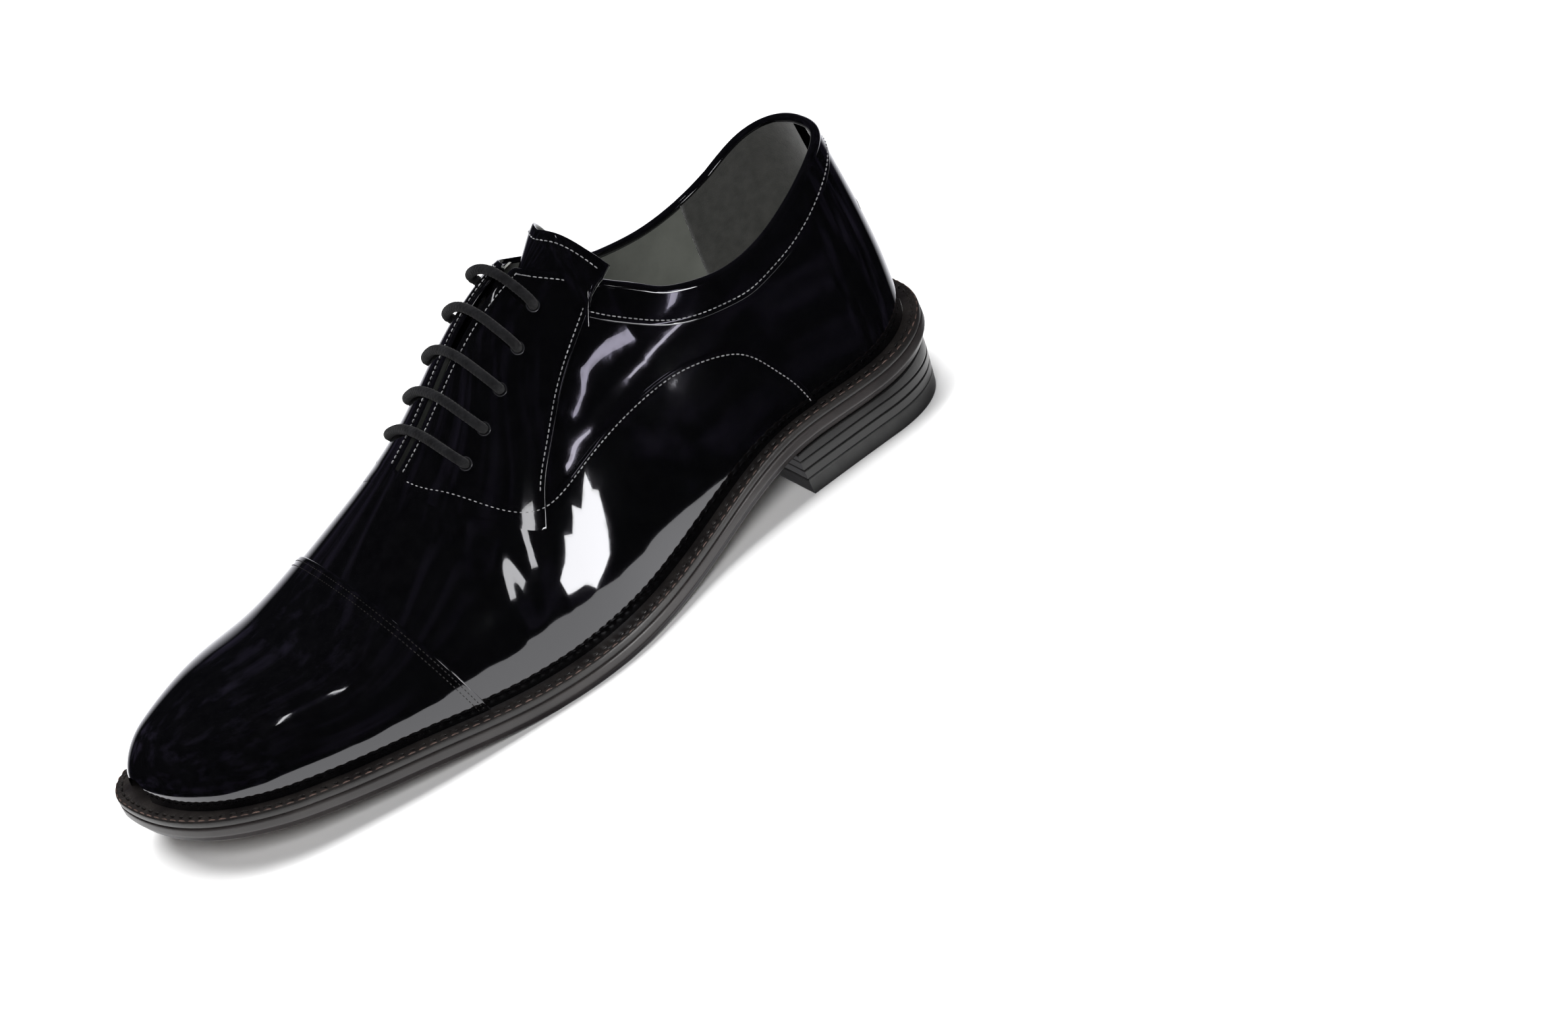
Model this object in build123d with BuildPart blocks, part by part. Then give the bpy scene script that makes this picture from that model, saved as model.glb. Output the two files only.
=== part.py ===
from build123d import *
from math import cos, pi, radians, sin
import os

import numpy as np

# A cap-toe oxford for the left foot. The toe points along +X, the wearer's left along +Y, and
# the heel and the ball of the sole stand on z = 0. Distances along the shoe ("s") are measured
# from the back of the heel, and "depth" is measured inward from the outside of the vamp.

# Plan of the sole edge.
shoe_length = 302.0
heel_round = 35.0  # behind this distance the outline closes round the heel
toe_round = 262.0  # in front of this distance it closes round the toe
width_stations = [35, 75, 110, 150, 190, 215, 245, 262]
lateral_widths = [33, 35, 40.5, 52.5, 52.5, 49.5, 43.5, 39]
medial_widths = [33, 34.5, 28, 37.5, 49.5, 55, 52, 46]
toe_swing = -15.0  # the tip of the toe lies this far to the medial side
toe_power = 1.95
heel_power = 2.4

# Heights of the welt's top, where the upper meets it, and of the ridge of the foot.
feather_stations = [0, 35, 70, 110, 150, 190, 220, 250, 280, 302]
feather_heights = [30, 25, 24.5, 13.5, 9, 9.4, 13.5, 16.5, 20.5, 23]
ridge_stations = [100, 125, 150, 170, 200, 235, 250, 265, 275, 285, 296]
ridge_heights = [119, 117, 104, 86.5, 65, 47, 46.3, 45.3, 42.3, 37.3, 30.5]
ankle_slope = 0.25  # behind the first ridge station the foot rises towards the ankle

# Fullness of the upper's walls, from the heel to the toe.
wall_stations = [0, 35, 75, 120, 160, 200, 240, 270, 296]
lateral_bulge = [1.2, 2.9, 2.8, 1.4, 1.5, 1.6, 1.5, 1, 0.5]
medial_bulge = [1.3, 2.9, 1.8, 1.5, 2, 2, 1.5, 1, 0.5]
wall_rise = [0.44, 0.47, 0.57, 0.41, 0.4, 0.48, 0.53, 0.61, 0.61]
crown_width = [0.56, 0.59, 0.67, 0.49, 0.5, 0.6, 0.66, 0.66, 0.62]
heel_inset = 4.6  # from the sole edge to the upper, at the heel
forepart_inset = 6.7  # and in the forepart

# Layers of the upper, as depths.
cap_skin = -1.0
strap_skin = -0.6
quarter_skin = 0.9
stiffener_skin = 1.5
lining_skin = 2.3
lining_inside = 3.3
grip_inside = 3.9

# Bottom of the shoe.
welt_thickness = 3.0
outsole_thickness = 6.0
insole_thickness = 2.5
sock_thickness = 1.0
welt_width = 16.0
heel_front = 69.0
heel_back_slope = 4.0  # the heel block's back leans in by this much at the floor
top_piece_thickness = 6.0
lift_thickness = 3.5
nail_radius = 1.1
nail_foot = 2.0  # height of the nails' lower ends above the floor
nail_length = 12.0
nail_places = [(16, -10), (16, 10), (36, -19), (36, 19), (58, -18), (58, 18)]
shank_start = 60.0
shank_end = 152.0
shank_width = 12.0
shank_cover = 0.7  # cork above and below the shank
sock_end = 98.0

# Seams, as points (s, z) of the shoe seen from the side.
wing_seam = [(187, 90), (183, 79), (176, 72.5), (166, 63), (156, 57), (147, 57.5), (137, 60),
             (121, 63), (106, 64.5), (92, 64.5), (84, 63), (76.5, 60.5), (67, 53), (61, 43),
             (55, 29), (51, 12)]
facing_seam = [(96, 106), (102, 100.5), (108.5, 95.5), (121.5, 87), (131.5, 79.5), (143, 68.5),
               (152, 58.5), (158, 48)]
collar_seam = [(113, 96), (107, 90.3), (101, 85.5), (89.5, 77.7), (78, 73.4), (69.5, 71.8),
               (60.5, 70.9), (50, 72.4), (38.5, 75.4), (28, 80), (17, 85.5), (-4, 94)]
top_line = [(-6, 99), (7, 98), (21, 94.5), (29, 91.2), (42, 86), (53.5, 83.2), (63.5, 82.7),
            (72, 84), (80, 86.4), (87, 89.8), (91, 92.9), (101.5, 100.6), (110, 107.8),
            (117, 112), (124, 119)]
cap_seam_top = (213.5, 57.0)
cap_seam_foot = (200.0, 11.0)
seam_underlap = 8.0

# Lacing: the gap between the facings and the five pairs of eyelets.
gap_front = 184.0
gap_side = 3.8  # the gap lies this far to the lateral side of the ridge
gap_half_width = 1.4
eyelet_stations = [167, 157, 146.5, 135, 123.5]
lateral_eyelets = [21, 20, 18, 15.5, 12.5]  # across, from the ridge to the lateral eyelets
medial_eyelets = [-15, -14, -12.5, -10, -7]
medial_lead = 4.0  # the medial eyelets lie further forward by this much
eyelet_hole_radius = 1.75
eyelet_radius = 2.35
lace_radius = 1.5
lace_run_depth = 5.1  # of the lace's middle, between the facings and the tongue
lace_rise = 4.6  # of the lace's middle above an eyelet, where it turns to cross the gap
bar_heights = [2.6, 2.8, 3.2, 4.0, 4.6]  # of the lace's middle above the ridge, on each bar
turn_under = 2.2  # radius of the lace's turns under the facings
turn_over = 2.5  # and above the eyelets
turn_end = 6.0  # and where its tucked ends leave the eyelets
gentle_turn = 20.0
bar_turn = 9.0
lateral_end = [(118, 25), (141, 26), (152, 26.5), (161, 25)]  # the tucked ends, as (s, across)
medial_end = [(136, -16), (147, -20), (157, -22), (179, -23.5)]
aglet_length = 18.0
aglet_radius = 1.6

# Tongue: its sections lie under the lacing and rise out of the shoe at the top.
tongue_stations = [99, 104, 110, 118, 128, 140, 152, 164, 176, 187]
tongue_lift = [11, 9.5, 6, 1.5, 0, 0, 0, 0, 0, 0]
tongue_reach_lateral = [15.5, 16, 16.5, 17, 18.5, 21, 23, 24, 24, 23]  # from the ridge
tongue_reach_medial = [13.5, 14, 14.5, 15, 16, 17, 18, 18, 18, 17]
tongue_depth = 9.6
tongue_leather = 1.2
tongue_lining_thickness = 0.8

middle = shoe_length / 2
side_view = Plane((-middle, 0, 0), x_dir=(1, 0, 0), z_dir=(0, -1, 0))


def smooth(stations, values):
    """The natural cubic spline through the values, as a function of the distance s."""
    x = np.array(stations, float)
    y = np.array(values, float)
    step = np.diff(x)
    slope = np.diff(y) / step
    matrix = np.eye(len(x))
    right = np.zeros(len(x))
    for i in range(1, len(x) - 1):
        matrix[i, i - 1:i + 2] = step[i - 1], 2 * (step[i - 1] + step[i]), step[i]
        right[i] = 6 * (slope[i] - slope[i - 1])
    bend = np.linalg.solve(matrix, right)

    def value(s):
        i = int(np.clip(np.searchsorted(x, s) - 1, 0, len(x) - 2))
        a = (x[i + 1] - s) / step[i]
        b = (s - x[i]) / step[i]
        curve = (a**3 - a) * bend[i] + (b**3 - b) * bend[i + 1]
        return float(a * y[i] + b * y[i + 1] + curve * step[i] ** 2 / 6)

    return value


lateral_width = smooth(width_stations, lateral_widths)
medial_width = smooth(width_stations, medial_widths)
feather = smooth(feather_stations, feather_heights)
ridge_curve = smooth(ridge_stations, ridge_heights)
lateral_fullness = smooth(wall_stations, lateral_bulge)
medial_fullness = smooth(wall_stations, medial_bulge)
rise_at = smooth(wall_stations, wall_rise)
crown_at = smooth(wall_stations, crown_width)
lateral_slope = (lateral_width(toe_round) - lateral_width(toe_round - 0.1)) / 0.1
medial_slope = (medial_width(toe_round) - medial_width(toe_round - 0.1)) / 0.1


def ridge(s):
    """Height of the ridge of the upper."""
    if s < ridge_stations[0]:
        return ridge_heights[0] + (ridge_stations[0] - s) * ankle_slope
    return ridge_curve(s)


def edges(s, inset):
    """The lateral and the medial y of the sole's outline moved in by inset."""
    body = min(max(s, heel_round), toe_round)
    lateral = lateral_width(body) - inset
    medial = medial_width(body) - inset
    if s > toe_round:
        over = s - toe_round
        part = min(over / (shoe_length - inset - toe_round), 1)
        taper = (1 - part**toe_power) ** (1 / toe_power)
        lateral = (lateral + lateral_slope * over * (1 - part)) * taper + toe_swing * (1 - taper)
        medial = (medial + medial_slope * over * (1 - part)) * taper - toe_swing * (1 - taper)
    if s < heel_round:
        part = min((heel_round - s) / (heel_round - 0.8 * inset), 1)
        taper = (1 - part**heel_power) ** (1 / heel_power)
        lateral *= taper
        medial *= taper
    return lateral, -medial


# The middle of the sole's widest points is moved to y = 0.
side_offset = (max(edges(s, 0)[0] for s in range(300)) + min(edges(s, 0)[1] for s in range(300))) / 2
top_view = Plane((-middle, -side_offset, 0))


def gap_line(s):
    """The y of the middle of the gap between the facings."""
    return sum(edges(s, 10)) / 2 + gap_side


def upper_inset(s):
    """How far the upper's foot lies inside the sole's outline."""
    part = min(max((s - 60) / 90, 0), 1)
    return heel_inset + (forepart_inset - heel_inset) * part


def arch(s, depth):
    """Control points of the two halves of the upper's section at s, each from foot to ridge."""
    lateral, medial = edges(s, upper_inset(s) + depth)
    foot = feather(s)
    top = ridge(s) - depth
    centre = (lateral + medial) / 2
    place = min(s, wall_stations[-1])
    halves = []
    for edge, bulge in ((lateral, lateral_fullness(place)), (medial, -medial_fullness(place))):
        width = edge - centre
        out = 2.2 * bulge * min(1, abs(width) / 25)
        shoulder = foot + rise_at(place) * (top - foot)
        halves.append([(edge, foot), (edge + out, shoulder),
                       (centre + crown_at(place) * width, top), (centre, top)])
    return halves


def section_plane(s):
    """The plane across the shoe at s, with y and z as its own axes."""
    return Plane((s - middle, -side_offset, 0), x_dir=(0, 1, 0), z_dir=(1, 0, 0))


def across(s, offset, depth):
    """The point (y, z) of the section at s that lies offset to the side of the ridge."""
    half = arch(s, depth)[0 if offset > 0 else 1]
    low, high = 0.0, 1.0
    for _ in range(40):
        t = (low + high) / 2
        weights = (1 - t) ** 3, 3 * (1 - t) ** 2 * t, 3 * (1 - t) * t**2, t**3
        y = sum(w * p[0] for w, p in zip(weights, half))
        z = sum(w * p[1] for w, p in zip(weights, half))
        if abs(y - half[3][0]) > abs(offset):
            low = t
        else:
            high = t
    return y, z


def skin_point(s, offset, depth):
    """The same point in the frame of the shoe."""
    y, z = across(s, offset, depth)
    return Vector(s - middle, y - side_offset, z)


def skin_normal(s, offset):
    """The direction straight out of the upper there."""
    along = skin_point(s + 1, offset, 0) - skin_point(s - 1, offset, 0)
    side = skin_point(s, offset + 0.5, 0) - skin_point(s, offset - 0.5, 0)
    return along.cross(side).normalized()


def last_stations(depth):
    """Distances of the sections, closer together in the rounds of the heel and the toe."""
    back = 0.8 * (heel_inset + depth) + 0.5
    front = shoe_length - forepart_inset - depth - 0.5
    heel = [back + (heel_round - back) * (1 - cos(radians(a))) for a in (0, 20, 38, 56, 74)]
    waist = [36, 52, 70, 88, 104, 120, 136, 152, 168, 184, 200, 216, 232, 248, 262]
    toe = [toe_round + (front - toe_round) * sin(radians(a)) for a in (20, 38, 54, 68, 80, 90)]
    return heel + waist + toe


def last_body(depth, drop):
    """The solid inside the upper at this depth, reaching drop below the upper's foot."""
    with BuildPart() as body:
        for s in last_stations(depth):
            lateral, medial = arch(s, depth)
            low = lateral[0][1] - drop
            with BuildSketch(section_plane(s)):
                with BuildLine():
                    Bezier(*lateral)
                    Bezier(*reversed(medial))
                    Line(medial[0], (medial[0][0], low))
                    Line((medial[0][0], low), (lateral[0][0], low))
                    Line((lateral[0][0], low), lateral[0])
                make_face()
        loft()
    return body.part


def side_region(*lines):
    """A prism through the shoe; each line is a list of (s, z) points, splined if over two."""
    with BuildPart() as region:
        with BuildSketch(side_view):
            with BuildLine():
                for line in lines:
                    if len(line) > 2:
                        Spline(*line)
                    else:
                        Line(*line)
            make_face()
        extrude(amount=100, both=True)
    return region.part


def closed_by(curve, *corners):
    """The curve and the straight lines that close it through the corners."""
    path = [curve[-1], *corners, curve[0]]
    return [curve, *zip(path, path[1:])]


def half_space(side):
    """Everything on the lateral (1) or the medial (-1) side of the shoe's centre seam."""
    seam = [(-20, 0), (60, 0)] + [(s, gap_line(s)) for s in (108, 124, 140, 156, 172, 200)]
    with BuildPart() as region:
        with BuildSketch(top_view):
            with BuildLine():
                Polyline(*seam, (200, 90 * side), (-20, 90 * side), close=True)
            make_face()
        extrude(amount=160)
    return region.part


def outline(inset, lean=0.0):
    """Points round the sole's outline, moved in by inset, the heel's back forward by lean."""
    back = 0.8 * inset
    front = shoe_length - inset
    heel = [back + (heel_round - back) * (1 - cos(radians(a))) for a in (16, 34, 54, 74)]
    body = [45, 75, 92, 110, 130, 150, 170, 190, 207, 225, 245, 262]
    toe = [toe_round + (front - toe_round) * sin(radians(a)) for a in (24, 44, 62, 78)]
    ring = [(back, 0.0)]
    ring += [(s, edges(s, inset)[0]) for s in heel + body + toe]
    ring += [(front, toe_swing)]
    ring += [(s, edges(s, inset)[1]) for s in reversed(heel + body + toe)]
    return [(s + lean * max(0, 1 - s / heel_front), y) for s, y in ring]


def plan_prism(inset):
    """The sole's outline, moved in by inset, as a tall prism."""
    with BuildPart() as prism:
        with BuildSketch(top_view.offset(-10)):
            with BuildLine():
                Spline(*outline(inset), periodic=True)
            make_face()
        extrude(amount=80)
    return prism.part


def slab(low, high):
    """The layer between two heights above the feather line, as a prism seen from the side."""
    stations = [-12] + feather_stations[1:-1] + [312]
    below = [(s, feather(s) + low) for s in stations]
    above = [(s, feather(s) + high) for s in reversed(stations)]
    return side_region(below, [below[-1], above[0]], above, [above[-1], below[0]])


def keep(part, name):
    """Names a finished piece and writes it."""
    part.label = name
    export_step(part, f"parts/{name}.step")
    print(name, len(part.solids()), round(part.volume))


os.makedirs("parts", exist_ok=True)

# The solids that the layers of the upper are cut between.
cap_body = last_body(cap_skin, 3)
strap_body = last_body(strap_skin, 3)
vamp_body = last_body(0, 3)
quarter_body = last_body(quarter_skin, 4)
stiffener_body = last_body(stiffener_skin, 5)
lining_body = last_body(lining_skin, 6)
foot_body = last_body(lining_inside, 7)
grip_body = last_body(grip_inside, 8)

# What is cut away from every layer: the ground under the upper, the foot's opening, the gap.
ground = side_region(*closed_by([(s, feather(s)) for s in [-12] + feather_stations[1:-1] + [312]],
                                (312, -20), (-12, -20)))
above_top_line = side_region(*closed_by(top_line, (124, 180), (-6, 180)))
with BuildPart() as gap:
    with BuildSketch(top_view.offset(50)):
        with BuildLine():
            rear = [(s, gap_line(s)) for s in (108, 124, 140, 156, 172)]
            tip = (gap_front, gap_line(gap_front))
            left = [(s, y + gap_half_width) for s, y in rear]
            right = [(s, y - gap_half_width) for s, y in reversed(rear)]
            Spline(*left, tip)
            Spline(tip, *right)
            Line(right[-1], left[0])
        make_face()
    extrude(amount=90)

# Regions of the panels.
ahead_of_wing = side_region(*closed_by(wing_seam, (51, -20), (330, -20), (330, 160), (187, 160)))
under_wing = [(s + seam_underlap * 0.8, z - seam_underlap * 0.6) for s, z in wing_seam]
behind_wing = side_region(*closed_by(under_wing, (-20, under_wing[-1][1]), (-20, 160),
                                     (under_wing[0][0], 160)))
cap_top, cap_foot = Vector(*cap_seam_top), Vector(*cap_seam_foot)
cap_run = cap_top - cap_foot


def ahead_of_cap(shift):
    """Everything in front of the toe cap's seam moved forward by shift."""
    low = cap_foot - cap_run + Vector(shift, 0)
    high = cap_top + cap_run + Vector(shift, 0)
    return side_region([(low.X, low.Y), (high.X, high.Y)], [(high.X, high.Y), (330, high.Y)],
                       [(330, high.Y), (330, low.Y)], [(330, low.Y), (low.X, low.Y)])


cap_region = ahead_of_cap(0)
vamp_end = ahead_of_cap(seam_underlap)
puff_region = ahead_of_cap(2 * seam_underlap)
counter_region = side_region([(-20, -20), (86, -20)], [(86, -20), (70, 48), (30, 64), (-20, 70)],
                             [(-20, 70), (-20, -20)])
facing_region = side_region(*closed_by(facing_seam, (230, 48), (230, 160), (96, 160)))
collar_region = side_region(*closed_by(collar_seam, (-4, 160), (113, 160)))
vamp_lining_region = side_region([(118, -20), (190, 130)], [(190, 130), (330, 130)],
                                 [(330, 130), (330, -20)], [(330, -20), (118, -20)])
grip_region = side_region([(-20, -20), (50, -20)], [(50, -20), (44, 120)],
                          [(44, 120), (-20, 120)], [(-20, 120), (-20, -20)])
lateral_half = half_space(1)
medial_half = half_space(-1)
with BuildPart() as strap_region:
    with BuildSketch(Plane((30 - middle, -side_offset, 0), x_dir=(0, -1, 0), z_dir=(-1, 0, 0))):
        with BuildLine():
            Polyline((7, 120), (-7, 120), (-7, 72), (-5, 64), (5, 64), (7, 72), close=True)
        make_face()
    extrude(amount=60)

# Eyelet holes, drilled straight through the facings, the quarters and their linings.
holes = []
for s, lateral, medial in zip(eyelet_stations, lateral_eyelets, medial_eyelets):
    holes.append((s, lateral))
    holes.append((s + medial_lead, medial))


def at_holes(radius, low, high):
    """A rod of this radius at every eyelet hole, from the depth low up to the depth high."""
    with BuildPart() as rods:
        for s, offset in holes:
            start = skin_point(s, offset, 0) - skin_normal(s, offset) * low
            with BuildSketch(Plane(start, z_dir=skin_normal(s, offset))):
                Circle(radius)
            extrude(amount=low - high)
    return rods.part


drilled = at_holes(eyelet_radius, 6, -3)

# Stiffeners.
with BuildPart() as toe_puff:
    add(stiffener_body)
    add(lining_body, mode=Mode.SUBTRACT)
    add(puff_region, mode=Mode.INTERSECT)
    add(ground, mode=Mode.SUBTRACT)
keep(toe_puff.part, "toe_puff")

with BuildPart() as heel_counter:
    add(stiffener_body)
    add(lining_body, mode=Mode.SUBTRACT)
    add(counter_region, mode=Mode.INTERSECT)
    add(ground, mode=Mode.SUBTRACT)
keep(heel_counter.part, "heel_counter")

# Quarters, one each side of the back seam.
with BuildPart() as quarter_shell:
    add(quarter_body)
    add(lining_body, mode=Mode.SUBTRACT)
    add(behind_wing, mode=Mode.INTERSECT)
    add(heel_counter.part, mode=Mode.SUBTRACT)
    for cutter in (ground, above_top_line, gap.part, drilled):
        add(cutter, mode=Mode.SUBTRACT)

for side, half in (("lateral", lateral_half), ("medial", medial_half)):
    with BuildPart() as quarter:
        add(quarter_shell.part)
        add(half, mode=Mode.INTERSECT)
    keep(quarter.part, f"quarter_{side}")

# Vamp, whose wings lie over the quarters and whose front lies under the toe cap.
with BuildPart() as vamp:
    add(vamp_body)
    add(lining_body, mode=Mode.SUBTRACT)
    add(ahead_of_wing, mode=Mode.INTERSECT)
    add(vamp_end, mode=Mode.SUBTRACT)
    add(behind_wing & (quarter_body - foot_body), mode=Mode.SUBTRACT)
    add(heel_counter.part, mode=Mode.SUBTRACT)
    for cutter in (ground, above_top_line, gap.part):
        add(cutter, mode=Mode.SUBTRACT)
keep(vamp.part, "vamp")

with BuildPart() as toe_cap:
    add(cap_body)
    add(lining_body, mode=Mode.SUBTRACT)
    add(cap_region, mode=Mode.INTERSECT)
    add(vamp.part, mode=Mode.SUBTRACT)
    add(toe_puff.part, mode=Mode.SUBTRACT)
    add(ground, mode=Mode.SUBTRACT)
keep(toe_cap.part, "toe_cap")

# Facings, collar bands and back strap, sewn on top of the quarters.
with BuildPart() as overlay_shell:
    add(vamp_body)
    add(quarter_body, mode=Mode.SUBTRACT)
    add(ahead_of_wing, mode=Mode.SUBTRACT)
    for cutter in (ground, above_top_line, gap.part, drilled, strap_region.part):
        add(cutter, mode=Mode.SUBTRACT)

for side, half in (("lateral", lateral_half), ("medial", medial_half)):
    with BuildPart() as facing:
        add(overlay_shell.part)
        add(facing_region, mode=Mode.INTERSECT)
        add(half, mode=Mode.INTERSECT)
    keep(facing.part, f"facing_{side}")
    with BuildPart() as collar:
        add(overlay_shell.part)
        add(collar_region, mode=Mode.INTERSECT)
        add(facing_region, mode=Mode.SUBTRACT)
        add(half, mode=Mode.INTERSECT)
    keep(collar.part, f"collar_band_{side}")

with BuildPart() as back_strap:
    add(strap_body)
    add(quarter_body, mode=Mode.SUBTRACT)
    add(strap_region.part, mode=Mode.INTERSECT)
    add(above_top_line, mode=Mode.SUBTRACT)
keep(back_strap.part, "back_strap")

# Linings.
with BuildPart() as lining_shell:
    add(lining_body)
    add(foot_body, mode=Mode.SUBTRACT)
    for cutter in (ground, above_top_line, gap.part, drilled):
        add(cutter, mode=Mode.SUBTRACT)

with BuildPart() as vamp_lining:
    add(lining_shell.part)
    add(vamp_lining_region, mode=Mode.INTERSECT)
keep(vamp_lining.part, "vamp_lining")

for side, half in (("lateral", lateral_half), ("medial", medial_half)):
    with BuildPart() as quarter_lining:
        add(lining_shell.part)
        add(vamp_lining_region, mode=Mode.SUBTRACT)
        add(grip_region, mode=Mode.SUBTRACT)
        add(half, mode=Mode.INTERSECT)
    keep(quarter_lining.part, f"quarter_lining_{side}")

with BuildPart() as heel_grip:
    add(lining_body)
    add(grip_body, mode=Mode.SUBTRACT)
    add(grip_region, mode=Mode.INTERSECT)
    add(ground, mode=Mode.SUBTRACT)
    add(above_top_line, mode=Mode.SUBTRACT)
keep(heel_grip.part, "heel_grip")


def tongue_layer(outer, inner):
    """A curved sheet between two depths, along the tongue."""
    with BuildPart() as layer:
        sides = zip(tongue_stations, tongue_lift, tongue_reach_medial, tongue_reach_lateral)
        for s, lift, medial, lateral in sides:
            spread = [-medial + (medial + lateral) * k / 6 for k in range(7)]
            above = [across(s, offset, outer) for offset in spread]
            below = [across(s, offset, inner) for offset in reversed(spread)]
            above = [(y, z + lift) for y, z in above]
            below = [(y, z + lift) for y, z in below]
            with BuildSketch(section_plane(s)):
                with BuildLine():
                    Spline(*above)
                    Line(above[-1], below[0])
                    Spline(*below)
                    Line(below[-1], above[0])
                make_face()
        loft(ruled=True)
    return layer.part


keep(tongue_layer(tongue_depth, tongue_depth + tongue_leather), "tongue")
lining_depth = tongue_depth + tongue_leather
keep(tongue_layer(lining_depth, lining_depth + tongue_lining_thickness), "tongue_lining")

with BuildPart() as blind_eyelets:
    add(at_holes(eyelet_radius, 2.8, -0.1))
    add(at_holes(eyelet_hole_radius, 6, -3), mode=Mode.SUBTRACT)
keep(blind_eyelets.part, "blind_eyelets")


def over(hole):
    """Where the lace turns above an eyelet."""
    return skin_point(*hole, 0) + skin_normal(*hole) * lace_rise


def under(place):
    """A point of the lace under the facings."""
    return skin_point(*place, 0) - skin_normal(*place) * lace_run_depth


# The lace: a straight bar across each pair of eyelets, joined under the facings on
# alternate sides, with both ends tucked in under the facings.
lateral_holes = holes[0::2]
medial_holes = holes[1::2]
route = [under(place) for place in lateral_end]
radii = [gentle_turn, gentle_turn, turn_end]
for i, height in enumerate(bar_heights):
    pair = [lateral_holes[i], medial_holes[i]]
    if i % 2:
        pair.reverse()
    ridge_s = (pair[0][0] + pair[1][0]) / 2
    crest = skin_point(ridge_s, gap_side / 2, 0) + skin_normal(ridge_s, gap_side / 2) * height
    route += [under(pair[0]), over(pair[0]), crest, over(pair[1]), under(pair[1])]
    radii += [turn_under, turn_over, bar_turn, turn_over, turn_under]
route += [under(place) for place in medial_end]
radii += [turn_end, gentle_turn, gentle_turn]
first_way = (route[0] - route[1]).normalized()
last_way = (route[-1] - route[-2]).normalized()
route[0] -= first_way * aglet_length
route[-1] -= last_way * aglet_length

with BuildPart() as shoelace:
    with BuildLine() as lace_path:
        FilletPolyline(*route, radius=radii)
    with BuildSketch(Plane(route[0], z_dir=route[1] - route[0])):
        Circle(lace_radius)
    sweep(path=lace_path.line)
keep(shoelace.part, "shoelace")
lace_length = lace_path.wires()[0].length
print("lace length", lace_length, "section by length", pi * lace_radius**2 * lace_length)

with BuildPart() as aglets:
    for end, way in ((route[0], first_way), (route[-1], last_way)):
        with BuildSketch(Plane(end, z_dir=way)):
            Circle(aglet_radius)
        extrude(amount=aglet_length)
keep(aglets.part, "aglets")

# Bottom of the shoe.
whole_plan = plan_prism(0)
inner_plan = plan_prism(welt_width)
with BuildPart() as welt:
    add(whole_plan)
    add(slab(-welt_thickness, 0), mode=Mode.INTERSECT)
    add(inner_plan, mode=Mode.SUBTRACT)
keep(welt.part, "welt")

with BuildPart() as shank:
    with BuildSketch(top_view):
        with Locations(((shank_start + shank_end) / 2, 1.5)):
            Rectangle(shank_end - shank_start, shank_width)
    extrude(amount=60)
    add(slab(shank_cover - welt_thickness, -shank_cover), mode=Mode.INTERSECT)
keep(shank.part, "shank")

with BuildPart() as cork_filler:
    add(inner_plan)
    add(slab(-welt_thickness, 0), mode=Mode.INTERSECT)
    add(shank.part, mode=Mode.SUBTRACT)
keep(cork_filler.part, "cork_filler")

with BuildPart() as insole:
    add(foot_body)
    add(slab(0, insole_thickness), mode=Mode.INTERSECT)
    add(heel_grip.part, mode=Mode.SUBTRACT)
keep(insole.part, "insole")

with BuildPart() as sock_liner:
    add(foot_body)
    add(slab(insole_thickness, insole_thickness + sock_thickness), mode=Mode.INTERSECT)
    add(side_region(*closed_by([(sock_end, 0), (sock_end, 90)], (-20, 90), (-20, 0))),
        mode=Mode.INTERSECT)
    add(heel_grip.part, mode=Mode.SUBTRACT)
keep(sock_liner.part, "sock_liner")

sole_bottom = -welt_thickness - outsole_thickness
with BuildPart() as outsole:
    add(whole_plan)
    add(slab(sole_bottom, -welt_thickness), mode=Mode.INTERSECT)
    split(bisect_by=Plane.XY)
keep(outsole.part, "outsole")

# The heel: a rubber top piece, two level lifts and a seat lift shaped to the outsole.
with BuildPart() as heel_block:
    for height, inset, lean in ((0, 1.5, heel_back_slope), (32, 0.4, 0.4)):
        with BuildSketch(top_view.offset(height)):
            with BuildLine():
                Spline(*outline(inset, lean), periodic=True)
            make_face()
    loft()
    add(side_region(*closed_by([(heel_front, -5), (heel_front + 1.5, 40)], (-20, 40), (-20, -5))),
        mode=Mode.INTERSECT)
    add(slab(sole_bottom, 60), mode=Mode.SUBTRACT)

with BuildPart() as heel_nails:
    with BuildSketch(top_view.offset(nail_foot)):
        with Locations(*nail_places):
            Circle(nail_radius)
    extrude(amount=nail_length)
keep(heel_nails.part, "heel_nails")

levels = [0, top_piece_thickness, top_piece_thickness + lift_thickness,
          top_piece_thickness + 2 * lift_thickness, 40]
lift_names = ["top_piece", "heel_lift_lower", "heel_lift_upper", "heel_seat_lift"]
for name, low, high in zip(lift_names, levels, levels[1:]):
    with BuildPart() as lift:
        add(heel_block.part)
        split(bisect_by=Plane.XY.offset(low))
        split(bisect_by=Plane.XY.offset(high), keep=Keep.BOTTOM)
        add(heel_nails.part, mode=Mode.SUBTRACT)
    keep(lift.part, name)
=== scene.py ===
"""A black patent cap-toe oxford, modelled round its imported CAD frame."""

import math

import bmesh
import bpy
import numpy as np
from mathutils import Matrix, Vector


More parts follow.
